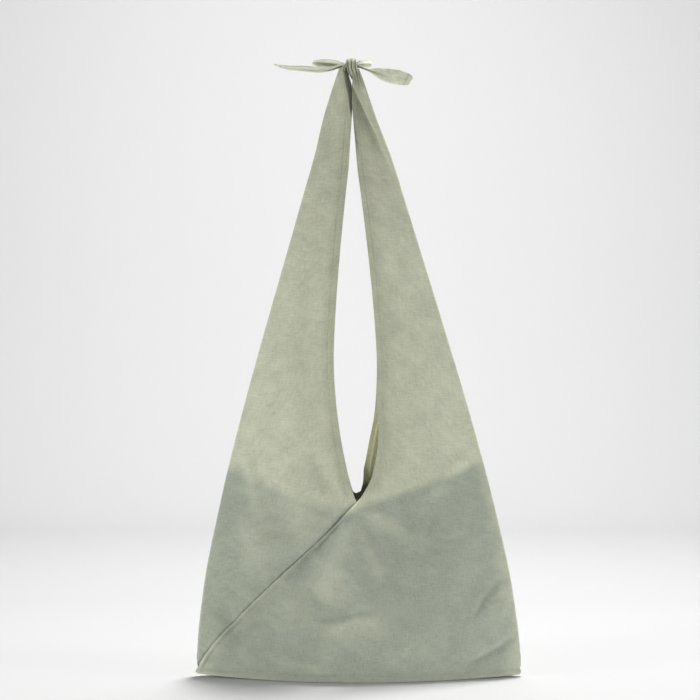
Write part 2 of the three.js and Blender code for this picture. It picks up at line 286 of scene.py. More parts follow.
def thicken(piece: bpy.types.Object, thickness: float) -> None:
    """Turn a sheet into a closed cloth of even thickness, half of it to each side.

    Args:
        piece: the sheet.
        thickness: thickness of the cloth, in metres.
    """
    select_only(piece)
    bpy.ops.object.modifier_add(type="SOLIDIFY")
    modifier = piece.modifiers[-1]
    modifier.thickness = thickness
    modifier.offset = 0.0
    bpy.ops.object.modifier_apply(modifier=modifier.name)
    bpy.ops.object.shade_smooth_by_angle(angle=SMOOTH_ANGLE)


def mesh_piece(name: str, points: np.ndarray, faces: list[tuple[int, ...]]) -> bpy.types.Object:
    """Make a smooth piece from points and faces.

    Args:
        name: name of the piece.
        points: points, one a row, in metres.
        faces: point numbers of each face.

    Returns:
        The new piece.
    """
    mesh = bpy.data.meshes.new(name)
    mesh.from_pydata(points.tolist(), [], faces)
    mesh.update()
    piece = bpy.data.objects.new(name, mesh)
    bpy.context.scene.collection.objects.link(piece)
    select_only(piece)
    bpy.ops.object.mode_set(mode="EDIT")
    bpy.ops.mesh.select_all(action="SELECT")
    bpy.ops.mesh.normals_make_consistent(inside=False)
    bpy.ops.object.mode_set(mode="OBJECT")
    bpy.ops.object.shade_smooth()
    return piece


def tube_faces(rings: int, ring_points: int) -> list[tuple[int, ...]]:
    """Faces of a closed tube.

    Args:
        rings: how many rings of points there are.
        ring_points: how many points there are to a ring.

    Returns:
        Point numbers of each face, with a face over each end.
    """
    faces: list[tuple[int, ...]] = []
    for ring in range(rings - 1):
        for i in range(ring_points):
            j = (i + 1) % ring_points
            low = ring * ring_points
            faces.append((low + i, low + j, low + j + ring_points, low + i + ring_points))
    faces.append(tuple(range(ring_points)))
    last = (rings - 1) * ring_points
    faces.append(tuple(range(last + ring_points - 1, last - 1, -1)))
    return faces


class FinishNodes:
    """Adds and links the nodes of one finish."""

    def __init__(self, name: str) -> None:
        """Start an empty material with its shader and output.

        Args:
            name: name of the material.
        """
        self.material = bpy.data.materials.new(name)
        self.material.use_nodes = True
        self.tree = self.material.node_tree
        self.tree.nodes.clear()
        self.shader = self.add("ShaderNodeBsdfPrincipled")
        self.add("ShaderNodeOutputMaterial", Surface=self.shader.outputs["BSDF"])

    def feed(self, target: bpy.types.NodeSocket, value: object) -> None:
        """Link an output to an input, or set the input to a plain value.

        Args:
            target: the input.
            value: an output, a number or a colour.
        """
        if isinstance(value, bpy.types.NodeSocket):
            self.tree.links.new(value, target)
        else:
            target.default_value = value

    def fill(self, node: bpy.types.Node, **inputs: object) -> None:
        """Feed inputs of a node, by name with _ for a space."""
        for name, value in inputs.items():
            self.feed(node.inputs[name.replace("_", " ")], value)

    def add(self, kind: str, **inputs: object) -> bpy.types.Node:
        """Add a node.

        Args:
            kind: Blender's name of the node.
            inputs: what its inputs are fed, by name with _ for a space.

        Returns:
            The new node.
        """
        node = self.tree.nodes.new(kind)
        self.fill(node, **inputs)
        return node

    def cloth_coordinates(self) -> bpy.types.NodeSocket:
        """The piece's own flat cloth coordinates."""
        node = self.add("ShaderNodeUVMap")
        node.uv_map = "UVMap"
        return node.outputs["UV"]

    def mapped_noise(self, cells: Pair, detail: float, roughness: float = 0.6) -> bpy.types.NodeSocket:
        """Noise on the flat cloth coordinates.

        Args:
            cells: how many cells there are to a metre, along each coordinate.
            detail: how much finer noise is added.
            roughness: how strong the finer noise is.

        Returns:
            The noise's factor.
        """
        mapping = self.add("ShaderNodeMapping", Vector=self.cloth_coordinates(), Scale=(*cells, 1.0))
        place = mapping.outputs["Vector"]
        noise = self.add("ShaderNodeTexNoise", Vector=place, Scale=1.0, Detail=detail, Roughness=roughness)
        return noise.outputs[0]

    def threads(self, direction: str, pitch: float) -> bpy.types.NodeSocket:
        """Even threads that run across one of the flat cloth coordinates.

        Args:
            direction: X or Y, the coordinate that the threads are counted along.
            pitch: distance between threads, in metres.

        Returns:
            The height of the threads, from 0 to 1.
        """
        # At a scale of 1, the wave texture turns by 20 radians to a metre.
        wave_turns = 20.0
        scale = 2.0 * math.pi / (wave_turns * pitch)
        wave = self.add("ShaderNodeTexWave", Vector=self.cloth_coordinates(), Scale=scale, Distortion=0.0)
        wave.bands_direction = direction
        return wave.outputs[1]

    def math(self, operation: str, first: object, second: object) -> bpy.types.NodeSocket:
        """Combine two numbers.

        Args:
            operation: Blender's name of the operation.
            first: an output or a number.
            second: an output or a number.

        Returns:
            The result.
        """
        node = self.add("ShaderNodeMath")
        node.operation = operation
        for target, value in zip(node.inputs, (first, second)):
            self.feed(target, value)
        return node.outputs[0]

    def blend(
        self, factor: object, first: object, second: object, way: str = "MIX"
    ) -> bpy.types.NodeSocket:
        """Mix two colours.

        Args:
            factor: an output or a number, 0 for the first colour.
            first: an output or a colour.
            second: an output or a colour.
            way: Blender's name of the way they are mixed.

        Returns:
            The mixed colour.
        """
        node = self.add("ShaderNodeMix")
        node.data_type = "RGBA"
        node.blend_type = way
        # The colours of a Mix node are its inputs 6 and 7 and its output 2.
        for place, value in ((0, factor), (6, first), (7, second)):
            self.feed(node.inputs[place], value)
        return node.outputs[2]

    def stored(self, name: str) -> bpy.types.NodeSocket:
        """The number that mark() stored under a name."""
        node = self.add("ShaderNodeAttribute")
        node.attribute_name = name
        return node.outputs["Fac"]


@dataclass(frozen=True)
class LinenFinish:
    """Plain-woven slubby linen, in metres. Colours are as a screen shows them, from 0 to 255."""

    name: str
    colour: Rgb
    # The next three colours are the cloth over its lining, over its facings, and in painted shade; the first
    # two also take painted light and shade on folds and straps.
    lined_colour: Rgb
    facing_and_strap_shade_colour: Rgb
    painted_shade_colour: Rgb = (94, 97, 74)
    thread_pitch: float = 0.0008
    weave_depth: float = 0.4
    slub_width: float = 0.0010
    slub_length: float = 0.011
    slub_detail: float = 2.0
    slub_contrast: float = 0.50
    cloud_cells: Pair = (46.0, 40.0)
    cloud_detail: float = 6.0
    cloud_contrast: float = 0.24
    crumple_size: float = 0.030
    crumple_stretch: float = 1.3
    crumple_detail: float = 1.5
    crumple_sharpness: float = 0.7
    crumple_depth: float = 4.5
    bump_distance: float = 0.0008
    bump_strength: float = 0.5
    roughness: float = 0.92
    specular: float = 0.2
    sheen: float = 0.5
    sheen_roughness: float = 0.6

    def slubs(self, nodes: FinishNodes) -> bpy.types.NodeSocket:
        """Uneven thicker threads along both ways of the weave.

        Args:
            nodes: the finish under way.

        Returns:
            Their strength, from 0 to 1.
        """
        across = 1.0 / self.slub_width
        along = 1.0 / self.slub_length
        warp = nodes.mapped_noise((across, along), self.slub_detail)
        weft = nodes.mapped_noise((along, across), self.slub_detail)
        return nodes.math("MULTIPLY", nodes.math("ADD", warp, weft), 0.5)

    def shade(self, nodes: FinishNodes, slubs: bpy.types.NodeSocket) -> bpy.types.NodeSocket:
        """Grey that the colour is multiplied by, from the slubs and from broad clouds.

        Args:
            nodes: the finish under way.
            slubs: strength of the slubs.

        Returns:
            The grey.
        """
        clouds = nodes.mapped_noise(self.cloud_cells, self.cloud_detail)
        fine = nodes.math("MULTIPLY", nodes.math("SUBTRACT", slubs, 0.5), 2.0 * self.slub_contrast)
        broad = nodes.math("MULTIPLY", nodes.math("SUBTRACT", clouds, 0.5), 2.0 * self.cloud_contrast)
        return nodes.math("ADD", nodes.math("ADD", fine, broad), 1.0)

    def crumple(self, nodes: FinishNodes) -> bpy.types.NodeSocket:
        """Soft creases that handled linen keeps.

        Args:
            nodes: the finish under way.

        Returns:
            Their height.
        """
        cells = 1.0 / self.crumple_size
        noise = nodes.mapped_noise((cells, self.crumple_stretch * cells), self.crumple_detail)
        off_middle = nodes.math("ABSOLUTE", nodes.math("SUBTRACT", noise, 0.5), 0.0)
        creases = nodes.math("POWER", off_middle, self.crumple_sharpness)
        return nodes.math("MULTIPLY", creases, self.crumple_depth)

    def relief(self, nodes: FinishNodes, slubs: bpy.types.NodeSocket) -> bpy.types.NodeSocket:
        """How the weave, the slubs and the creases turn the light.

        Args:
            nodes: the finish under way.
            slubs: strength of the slubs.

        Returns:
            The bumped normal.
        """
        warp = nodes.threads("X", self.thread_pitch)
        weft = nodes.threads("Y", self.thread_pitch)
        weave = nodes.math("MULTIPLY", nodes.math("MULTIPLY", warp, weft), self.weave_depth)
        height = nodes.math("ADD", nodes.math("ADD", weave, slubs), self.crumple(nodes))
        bump = nodes.add(
            "ShaderNodeBump", Height=height, Strength=self.bump_strength, Distance=self.bump_distance
        )
        return bump.outputs["Normal"]

    def make(self) -> bpy.types.Material:
        """Make the material.

        Returns:
            The material, which reads three marks: the lining with painted light and shade on folds, the
                facings with painted shade across the straps, and painted shade.
        """
        nodes = FinishNodes(self.name)
        slubs = self.slubs(nodes)
        colour: object = linear(*self.colour)
        marked = {
            "lined": self.lined_colour,
            "facing_and_strap_shade": self.facing_and_strap_shade_colour,
            "painted_shade": self.painted_shade_colour,
        }
        for name, darker in marked.items():
            colour = nodes.blend(nodes.stored(name), colour, linear(*darker))
        nodes.fill(
            nodes.shader,
            Base_Color=nodes.blend(1.0, colour, self.shade(nodes, slubs), "MULTIPLY"),
            Normal=self.relief(nodes, slubs),
            Roughness=self.roughness,
            Specular_IOR_Level=self.specular,
            Sheen_Weight=self.sheen,
            Sheen_Roughness=self.sheen_roughness,
        )
        return nodes.material


@dataclass(frozen=True)
class StudioFinish:
    """Matte pale paper of the floor and backdrop. Depths are where along Y the one turns into the other."""

    name: str = "studio_paper"
    floor_colour: Rgb = (211, 211, 211)
    wall_colour: Rgb = (228, 228, 228)
    floor_depth: float = 0.6
    wall_depth: float = 1.7
    roughness: float = 1.0
    specular: float = 0.0

    def make(self) -> bpy.types.Material:
        """Make the material.

        Returns:
            The material.
        """
        nodes = FinishNodes(self.name)
        place = nodes.add("ShaderNodeTexCoord").outputs["Object"]
        depth = nodes.add("ShaderNodeSeparateXYZ", Vector=place).outputs["Y"]
        reach = nodes.add(
            "ShaderNodeMapRange", Value=depth, From_Min=self.floor_depth, From_Max=self.wall_depth
        )
        share = reach.outputs["Result"]
        nodes.fill(
            nodes.shader,
            Base_Color=nodes.blend(share, linear(*self.floor_colour), linear(*self.wall_colour)),
            Roughness=self.roughness,
            Specular_IOR_Level=self.specular,
        )
        return nodes.material


# The linen's second and third colours also serve as painted shade on its folds and straps.
LINEN = LinenFinish("sage_linen", (185, 188, 165), (149, 156, 140), (161, 164, 140))
LINING = LinenFinish("sage_lining", (143, 152, 135), (143, 152, 135), (135, 143, 127), slub_contrast=0.1)
FACING = LinenFinish("sage_bias_strip", (190, 191, 150), (190, 191, 150), (178, 180, 140))


@dataclass(frozen=True)
class Spots:
    """Places on the cloth, as arrays of one shape.

    Heights are from the underside of the base, in metres. Around runs from 0 to 1 over the front, left edge
    to right edge, and from 1 to 2 over the back, right edge to left edge.
    """

    around: np.ndarray
    heights: np.ndarray

    @property
    def across(self) -> np.ndarray:
        """Share of the way from the left edge of the bag to the right one."""
        turn = np.mod(self.around, 2.0)
        return np.where(turn < 1.0, turn, 2.0 - turn)

    @property
    def face(self) -> np.ndarray:
        """Face of the bag: -1 at the front and 1 at the back."""
        return np.where(np.mod(self.around, 2.0) < 1.0, -1.0, 1.0)

    @property
    def side(self) -> np.ndarray:
        """Side of the bag: -1 on the left and 1 on the right."""
        return np.where(self.across < 0.5, -1.0, 1.0)

    @property
    def reach(self) -> np.ndarray:
        """How far in a place lies: 0 at the outer edge and 1 in the middle or at a strap's inner edge."""
        return 2.0 * np.minimum(self.across, 1.0 - self.across)

    def shifted(self, turn: float, rise: float) -> Spots:
        """The places further round the bag and further up it."""
        return Spots(self.around + turn, self.heights + rise)


@dataclass(frozen=True)
class Fold:
    """One fold of the front cloth, along a line whose ends are given by distance from the middle and height.

    Flare widens the fold towards its end and bow curves its line. A set share of its lift, which may pass 1,
    is painted as light on a ridge and as shade in a hollow, and a crest's shade is a painted shadow on the
    cloth that it hangs over.
    """

    start: Pair
    end: Pair
    width: float
    rise: float
    flare: float = 0.0
    bow: float = 0.0
    end_fade: float = 0.25
    fold_light_share: float = 1.0
    kind: FoldKind = FoldKind.ROUND
    shade: float = 0.0
    shade_reach: float = 0.010
    shade_edge: float = 0.0007
    shade_fall: Pair = (1.1, 0.35)

    def place(self, x: np.ndarray, heights: np.ndarray) -> tuple[np.ndarray, np.ndarray]:
        """Find where points lie by the fold's line.

        Args:
            x: distance from the middle of the bag, to the right.
            heights: height above the base.

        Returns:
            Share of the way along the line, and distance off it.
        """
        run = np.array(self.end) - np.array(self.start)
        length = float(np.linalg.norm(run))
        along = ((x - self.start[0]) * run[0] + (heights - self.start[1]) * run[1]) / length**2
        off = ((x - self.start[0]) * run[1] - (heights - self.start[1]) * run[0]) / length
        return along, off - self.bow * (1.0 - (2.0 * along - 1.0) ** 2)

    def on_own_side(self, x: np.ndarray) -> np.ndarray:
        """Whether points lie on the side of the bag that most of the fold lies on."""
        return x * (self.start[0] + self.end[0]) > 0.0

    def lift(self, x: np.ndarray, heights: np.ndarray) -> np.ndarray:
        """How far the fold lifts the cloth.

        Args:
            x: distance from the middle of the bag, to the right.
            heights: height above the base.

        Returns:
            The lift, outward, in metres.
        """
        along, off = self.place(x, heights)
        width = self.width * (1.0 + self.flare * np.clip(along, 0.0, 1.0))
        taper = hump((-self.end_fade, self.end_fade), (1.0 + self.end_fade, 1.0 - self.end_fade), along)
        if self.kind is FoldKind.ROUND:
            return self.rise * bell(off, 0.0, width) * taper
        drop = self.rise * (1.0 - np.exp(-np.maximum(off, 0.0) / width)) * taper
        return np.where(self.on_own_side(x), drop, 0.0)

    def shadow(self, x: np.ndarray, heights: np.ndarray) -> np.ndarray:
        """Painted shadow on the cloth that a crest hangs over, deepest along the crest and at its start.

        Args:
            x: distance from the middle of the bag, to the right.
            heights: height above the base.

        Returns:
            The painted shadow, from 0 to 1.
        """
        along, off = self.place(x, heights)
        dark = self.shade * ramp(0.0, self.shade_edge, off) * np.exp(-np.maximum(off, 0.0) / self.shade_reach)
        return np.where(self.on_own_side(x), dark * ramp(*self.shade_fall, along), 0.0)


@dataclass(frozen=True)
class Slack:
    """Waves of slack cloth, in metres.

    Squeeze is a factor on one of the coordinates, which squeezes the waves along it or draws them out.
    """

    rise: float
    length: float
    squeeze: float
    seed: int

    def lift(self, u: np.ndarray, v: np.ndarray) -> np.ndarray:
        """How far the waves lift the cloth at two coordinates."""
        return self.rise * soft_noise(u, v, self.length, self.seed)


@dataclass(frozen=True)
class StrapGap:
    """Gap between the straps: a pointed drop that stands on the mouth, with a slit up to the knot.

    A rise or a fall is a pair of heights between which something comes or goes, and that of the overlap is
    from the lip at the back, which stands higher than the front one.
    """

    mouth_height: float = 0.195
    half_width: float = 0.0239
    widest_height: float = 0.352
    top_height: float = 0.602
    least: float = 0.0001
    foot_shape: float = 0.75
    top_shape: float = 1.4
    slit_top_height: float = 0.632
    slit_slope: float = 0.072
    foot_clearance: float = 0.005
    back_lip_rise: float = 0.0055
    back_lip_round: float = 0.004
    back_overlap: float = 0.002
    back_overlap_fall: Pair = (0.005, 0.001)
    back_peek: float = 0.0026
    back_peek_rise: Pair = (0.214, 0.232)
    back_peek_fall: Pair = (0.300, 0.250)
    front_draw: float = 0.0080
    front_draw_rise: Pair = (0.188, 0.226)
    front_draw_fall: Pair = (0.320, 0.255)
    knot_draw: float = 0.0075
    knot_draw_rise: Pair = (0.652, 0.684)
    knot_draw_right_share: float = 0.2

    @property
    def back_lip(self) -> float:
        """Height of the mouth's lip at the back."""
        return self.mouth_height + self.back_lip_rise

    def half(self, spots: Spots) -> np.ndarray:
        """Half of the gap.

        Args:
            spots: places on the cloth.

        Returns:
            The half of the gap at their heights and on their faces, in metres.
        """
        heights = spots.heights
        foot = np.clip((heights - self.mouth_height) / (self.widest_height - self.mouth_height), 0.0, 1.0)
        top = np.clip((heights - self.widest_height) / (self.top_height - self.widest_height), 0.0, 1.0)
        open_at_back = ramp(self.back_lip, self.back_lip + self.back_lip_round, heights)
        open_here = np.where(spots.face > 0.0, open_at_back, 1.0)
        low = open_here * self.half_width * np.sin(foot * math.pi / 2.0) ** self.foot_shape
        high = np.maximum(self.least, self.half_width * (1.0 - top**self.top_shape))
        slit = self.slit_slope * (self.slit_top_height - heights)
        return np.where(heights < self.widest_height, low, np.maximum(high, slit))

    def inner_edge(self, spots: Spots) -> np.ndarray:
        """Distance of a strap's inner edge from the middle of the bag.

        On the right the edge at the back hangs looser than the front one. Under the knot the left strap
        stands clear.

        Args:
            spots: places on the cloth.

        Returns:
            The distance, in metres.
        """
        heights = spots.heights
        clear = ramp(self.mouth_height, self.mouth_height + self.foot_clearance, heights)
        loose = self.back_peek * hump(self.back_peek_rise, self.back_peek_fall, heights)
        by_strap = self.front_draw * clear * hump(self.front_draw_rise, self.front_draw_fall, heights)
        overlap = self.back_overlap * clear * ramp(*self.back_overlap_fall, heights - self.back_lip)
        on_right = np.where(spots.face > 0.0, -loose - overlap, by_strap)
        gap = self.half(spots) + np.where(spots.side > 0.0, on_right, 0.0)
        aside = self.knot_draw * ramp(*self.knot_draw_rise, heights)
        return gap + np.where(spots.side < 0.0, aside, self.knot_draw_right_share * aside)


@dataclass(frozen=True)
class DiagonalSeam:
    """Seam between the cloths, from a bottom corner up to the mouth, on the front and on the back.

    The cloth dips into the stitches, puckers along them and is padded on the lower side. The top fall is
    from the height of the mouth.
    """

    bow: float = 1.22
    least_around: float = 0.006
    slant: float = 0.72
    top_fall: Pair = (0.004, -0.006)
    foot_rise: float = 0.01
    groove_depth: float = 0.0017
    groove_width: float = 0.0010
    padding_rise: float = 0.0016
    padding_off: float = 0.0025
    padding_width: float = 0.0016
    puckers: Slack = Slack(0.0006, 0.012, 0.2, 21)
    pucker_reach: float = 0.012

    def around(self, heights: np.ndarray, mouth_height: float) -> np.ndarray:
        """Where the front seam stands. The back seam stands a whole front further round."""
        rise = np.clip(heights / mouth_height, 0.0, 1.0)
        return np.maximum(self.least_around, 0.5 * rise**self.bow)

    def lift(self, off: np.ndarray, heights: np.ndarray, mouth_height: float) -> np.ndarray:
        """How far the seam lifts the cloth.

        Args:
            off: distance from the stitches, to the lower side.
            heights: height above the base.
            mouth_height: height of the mouth.

        Returns:
            The lift, outward, in metres.
        """
        sewn = ramp(*self.top_fall, heights - mouth_height) * ramp(0.0, self.foot_rise, heights)
        groove = -self.groove_depth * bell(off, 0.0, self.groove_width)
        padding = self.padding_rise * bell(off, self.padding_off, self.padding_width)
        puckers = self.puckers.lift(heights, self.puckers.squeeze * off)
        return sewn * (groove + padding + puckers * np.exp(-np.abs(off) / self.pucker_reach))


@dataclass(frozen=True)
class BaseSeam:
    """Seam round the base: the cloth rolls over it and dips above it. Shares are of half its height."""

    height: float = 0.0070
    rise: float = 0.0014
    roll_share: float = 0.6
    dip_share: float = 0.7
    start_share: float = 0.4

    def lift(self, heights: np.ndarray) -> np.ndarray:
        """How far the seam lifts the cloth.

        Args:
            heights: height above the base.

        Returns:
            The lift, outward, in metres.
        """
        half = self.height / 2.0
        roll = bell(heights, self.roll_share * half, self.roll_share * half)
        dip = bell(heights, self.height, self.dip_share * half)
        return self.rise * (roll - dip) * ramp(0.0, self.start_share * half, heights)


@dataclass(frozen=True)
class TurnedEdge:
    """Turned inner edge of a strap, which stands proud as far as its row of stitches."""

    width: float = 0.0055
    rise: float = 0.00035
    softness: float = 0.001
    stitch_width: float = 0.0008
    foot_rise: float = 0.01
    top_fall: Pair = (0.66, 0.62)

    def lift(self, off: np.ndarray, heights: np.ndarray, mouth_height: float) -> np.ndarray:
        """How far the edge lifts the cloth.

        Args:
            off: distance from the inner edge, along the cloth.
            heights: height above the base.
            mouth_height: height of the mouth.

        Returns:
            The lift, outward, in metres.
        """
        free = hump((mouth_height, mouth_height + self.foot_rise), self.top_fall, heights)
        turned = ramp(self.width + self.softness, self.width - self.softness, off)
        stitched = bell(off, self.width + self.stitch_width, self.stitch_width)
        return free * self.rise * (turned - stitched)


@dataclass(frozen=True)
class BagShell:
    """The tied bag as one lofted shell of sagging cloth, in metres.

    A rise or a fall is a pair of heights between which something comes or goes. Shares and lifts that come in
    pairs are for the left and the right side.
    """

    width_knots: tuple[Pair, ...] = (
        (0.0, 0.180), (0.020, 0.1795), (0.092, 0.172), (0.199, 0.150), (0.287, 0.1275),
        (0.476, 0.0725), (0.613, 0.0313), (0.664, 0.0147), (0.686, 0.0065),
    )
    depth_knots: tuple[Pair, ...] = (
        (0.0, 0.046), (0.045, 0.0475), (0.199, 0.015), (0.287, 0.0065),
        (0.476, 0.0055), (0.600, 0.0065), (0.650, 0.0070), (0.686, 0.0035),
    )
    gap: StrapGap = StrapGap()
    seam: DiagonalSeam = DiagonalSeam()
    base_seam: BaseSeam = BaseSeam()
    turned_edge: TurnedEdge = TurnedEdge()
    origin_height: float = 0.664
    knot_height: float = 0.677
    crease_height: float = 0.287
    crease_reach: float = 0.04
    hang_lean: float = -0.008
    top_skew: float = 0.003
    top_skew_rise: Pair = (0.57, 0.63)
    side_bend_share: float = 0.09
    side_bend_least: float = 0.0016
    side_bend_reach: float = 0.06
    corner_height: float = 0.06
    corner_bend_share: float = 0.3
    corner_lifts: Pair = (0.0035, 0.002)
    corner_lift_power: int = 4
    base_curl: float = 0.011
    base_curl_shares: Pair = (0.1, 0.6)
    base_curl_reach: float = 0.35
    back_lean_depth: float = 0.0030
    back_lean_rise: Pair = (0.204, 0.218)
    back_lean_fall: Pair = (0.340, 0.270)
    back_lean_reach: float = 0.70
    lining_height: float = 0.190
    lining_drop: float = 0.008
    lining_drop_reach: float = 0.02
    lining_climb: float = 0.22
    lining_curve: float = 1.0
    main_folds: tuple[Fold, ...] = (
        Fold((-0.006, 0.180), (-0.044, 0.084), 0.017, 0.0044),
        Fold((0.034, 0.168), (0.066, 0.066), 0.022, -0.0055),
        Fold((0.126, 0.190), (0.100, 0.084), 0.018, 0.0040, fold_light_share=0.0),
        Fold((0.166, 0.060), (0.104, 0.032), 0.017, 0.0034, fold_light_share=0.1),
        Fold((-0.104, 0.252), (-0.094, 0.170), 0.020, -0.0034, fold_light_share=0.0),
        Fold((-0.062, 0.230), (-0.058, 0.150), 0.018, 0.0030),
        Fold((-0.118, 0.054), (-0.052, 0.026), 0.018, -0.0032),
        Fold((-0.036, 0.054), (0.030, 0.066), 0.016, 0.0028),
        Fold((0.106, 0.258), (0.054, 0.206), 0.017, -0.0032),
    )
    fine_folds: tuple[Fold, ...] = (
        Fold((-0.012, 0.184), (-0.066, 0.118), 0.0045, -0.0039, flare=1.0),
        Fold((-0.014, 0.180), (-0.036, 0.136), 0.007, -0.0034, flare=0.6),
        Fold((-0.050, 0.096), (-0.034, 0.070), 0.008, -0.0031),
        Fold((-0.036, 0.108), (-0.012, 0.088), 0.013, 0.0026),
        Fold((0.008, 0.186), (0.058, 0.150), 0.010, 0.0029, flare=0.6, fold_light_share=2.6),
        Fold((0.020, 0.180), (0.060, 0.128), 0.006, -0.0021, flare=0.8),
        Fold((0.172, 0.041), (0.118, 0.014), 0.0050, -0.0028),
        Fold((0.160, 0.108), (0.130, 0.070), 0.006, -0.0028, bow=0.003),
        Fold((0.168, 0.096), (0.146, 0.060), 0.007, 0.0029, fold_light_share=0.3),
        Fold((-0.030, 0.057), (0.024, 0.068), 0.0050, 0.0023, bow=-0.002),
        Fold((-0.046, 0.070), (0.016, 0.077), 0.005, -0.0026),
        Fold((0.080, 0.048), (0.020, 0.024), 0.010, 0.0029, fold_light_share=0.3),
        Fold((-0.100, 0.030), (-0.030, 0.008), 0.008, 0.0029),
        Fold((-0.050, 0.250), (-0.026, 0.204), 0.008, -0.0029),
        Fold((-0.120, 0.240), (-0.108, 0.180), 0.007, 0.0021),
        Fold((0.122, 0.250), (0.076, 0.196), 0.009, 0.0029),
        Fold((-0.060, 0.300), (-0.046, 0.440), 0.010, -0.0029),
        Fold((-0.080, 0.330), (-0.056, 0.470), 0.012, 0.0026),
        Fold((0.062, 0.320), (0.038, 0.470), 0.010, -0.0029),
        Fold((0.046, 0.440), (0.030, 0.560), 0.008, 0.0021),
        Fold((0.062, 0.190), (0.100, 0.122), 0.018, -0.0039),
        Fold((-0.146, 0.078), (-0.126, 0.036), 0.012, -0.0031),
        Fold((-0.122, 0.176), (-0.100, 0.124), 0.018, 0.0029),
        Fold((-0.020, 0.128), (0.030, 0.104), 0.006, -0.0021, flare=0.8),
        Fold((0.006, 0.160), (0.026, 0.110), 0.005, 0.0021, flare=1.0, fold_light_share=1.8),
    )
    # The right crest's shade is a painted shadow on the cloth that it hangs over.
    crests: tuple[Fold, ...] = (
        Fold((-0.0050, 0.612), (-0.0125, 0.700), 0.0030, -0.0085, kind=FoldKind.CREST),
        Fold((-0.0150, 0.690), (0.0460, 0.560), 0.0022, -0.0045, kind=FoldKind.CREST, shade=1.0,
             shade_reach=0.013),
    )
    fold_foot_height: float = 0.024
    fold_full_depth: float = 0.016
    slack_waves: tuple[Slack, ...] = (Slack(0.0011, 0.085, 0.55, 5), Slack(0.00035, 0.03, 1.0, 6))
    slack_reach: float = 0.16
    slack_face_shift: float = 0.5
    base_ripples: Slack = Slack(0.0014, 0.07, 0.2, 7)
    base_ripple_height: float = 0.03

    def half_width(self, heights: np.ndarray) -> np.ndarray:
        """Half of the bag's width at each height."""
        return smooth_through(self.width_knots, heights)

    def half_depth(self, heights: np.ndarray) -> np.ndarray:
        """Half of the bag's depth in the middle at each height."""
        return smooth_through(self.depth_knots, heights)

    def middle_x(self, heights: np.ndarray) -> np.ndarray:
        """Where the middle of the bag stands along X, which leans with the hang."""
        return self.hang_lean * (heights - self.origin_height) / self.knot_height

    def seam_around(self, heights: np.ndarray) -> np.ndarray:
        """Where the front seam stands round the bag at each height."""
        return self.seam.around(heights, self.gap.mouth_height)

    def outer_edge(self, spots: Spots) -> np.ndarray:
        """Distance of a side's outer edge from the middle. Near the knot the left strap is the wider one."""
        skew = self.top_skew * ramp(*self.top_skew_rise, spots.heights)
        return self.half_width(spots.heights) - spots.side * skew

    def strap_width(self, spots: Spots) -> np.ndarray:
        """Distance between a strap's outer and inner edges."""
        return self.outer_edge(spots) - self.gap.inner_edge(spots)

    def from_inner_edge(self, spots: Spots) -> np.ndarray:
        """Distance along the cloth from a strap's inner edge."""
        return (1.0 - spots.reach) * self.strap_width(spots)

    def tucked_in(self, spots: Spots) -> np.ndarray:
        """How far the cloth is tucked in where it curls under the base.

        Args:
            spots: places on the cloth.

        Returns:
            The distance, in metres.
        """
        side_share = np.where(spots.side < 0.0, *self.base_curl_shares)
        share = side_share + (1.0 - side_share) * ramp(0.0, self.base_curl_reach, spots.reach)
        curl = self.base_curl * share
        dip = np.clip(curl - spots.heights, 0.0, curl)
        return curl - np.sqrt(np.maximum(curl**2 - dip**2, 0.0))

    def back_lean(self, spots: Spots, depth: np.ndarray) -> np.ndarray:
        """How far the loose edge at the back of the right strap leans in.

        Args:
            spots: places on the cloth.
            depth: half of the bag's depth in the middle.

        Returns:
            The lean, as a share of the depth.
        """
        leaning = hump(self.back_lean_rise, self.back_lean_fall, spots.heights)
        leaning = leaning * ramp(self.back_lean_reach, 1.0, spots.reach)
        leaning = leaning * (1.0 - self.back_lean_depth / np.maximum(depth, self.back_lean_depth))
        return np.where((spots.face > 0.0) & (spots.side > 0.0), leaning, 0.0)

    def section(self, spots: Spots) -> tuple[np.ndarray, np.ndarray]:
        """Shape of the shell before its folds.

        Args:
            spots: places on the cloth.

        Returns:
            Distance from the middle of the bag, and from its middle plane.
        """
        tucked = self.tucked_in(spots)
        outer = self.outer_edge(spots) - tucked
        inner = self.gap.inner_edge(spots)
        depth = self.half_depth(spots.heights) - tucked
        off_corner = ramp(0.0, self.corner_height, spots.heights)
        sharpness = self.corner_bend_share + (1.0 - self.corner_bend_share) * off_corner
        bend = np.maximum(self.side_bend_least, depth * self.side_bend_share * sharpness)
        bend_reach = self.side_bend_reach * sharpness
        slope = np.arctan((depth - bend) * math.pi / 2.0 / (outer - bend - inner))
        turn = (math.pi / 2.0 - slope) * np.clip(spots.reach / bend_reach, 0.0, 1.0)
        run = np.clip((spots.reach - bend_reach) / (1.0 - bend_reach), 0.0, 1.0)
        turned = outer - bend * (1.0 - np.cos(turn))
        out = turned - (turned - inner) * run
        start = bend * np.sin(turn)
        swelling = start + (depth - start) * np.sin(run * math.pi / 2.0)
        return out, swelling * (1.0 - self.back_lean(spots, depth))

    def front_x(self, spots: Spots) -> np.ndarray:
        """Distance from the middle, to the right at the front and to the left at the back."""
        out, _ = self.section(spots)
        return -spots.face * spots.side * out

    def rest_points(self, spots: Spots) -> np.ndarray:
        """Points of the shell before its folds.

        Args:
            spots: places on the cloth.

        Returns:
            The points in the part's frame.
        """
        out, depth = self.section(spots)
        near_base = ramp(self.corner_height, 0.0, spots.heights)
        near_corner = (out / self.width_knots[0][1]) ** self.corner_lift_power
        lift = np.where(spots.side < 0.0, *self.corner_lifts) * near_base * near_corner
        x = self.middle_x(spots.heights) + spots.side * out
        return np.stack([x, spots.face * depth, spots.heights - self.origin_height + lift], axis=-1)

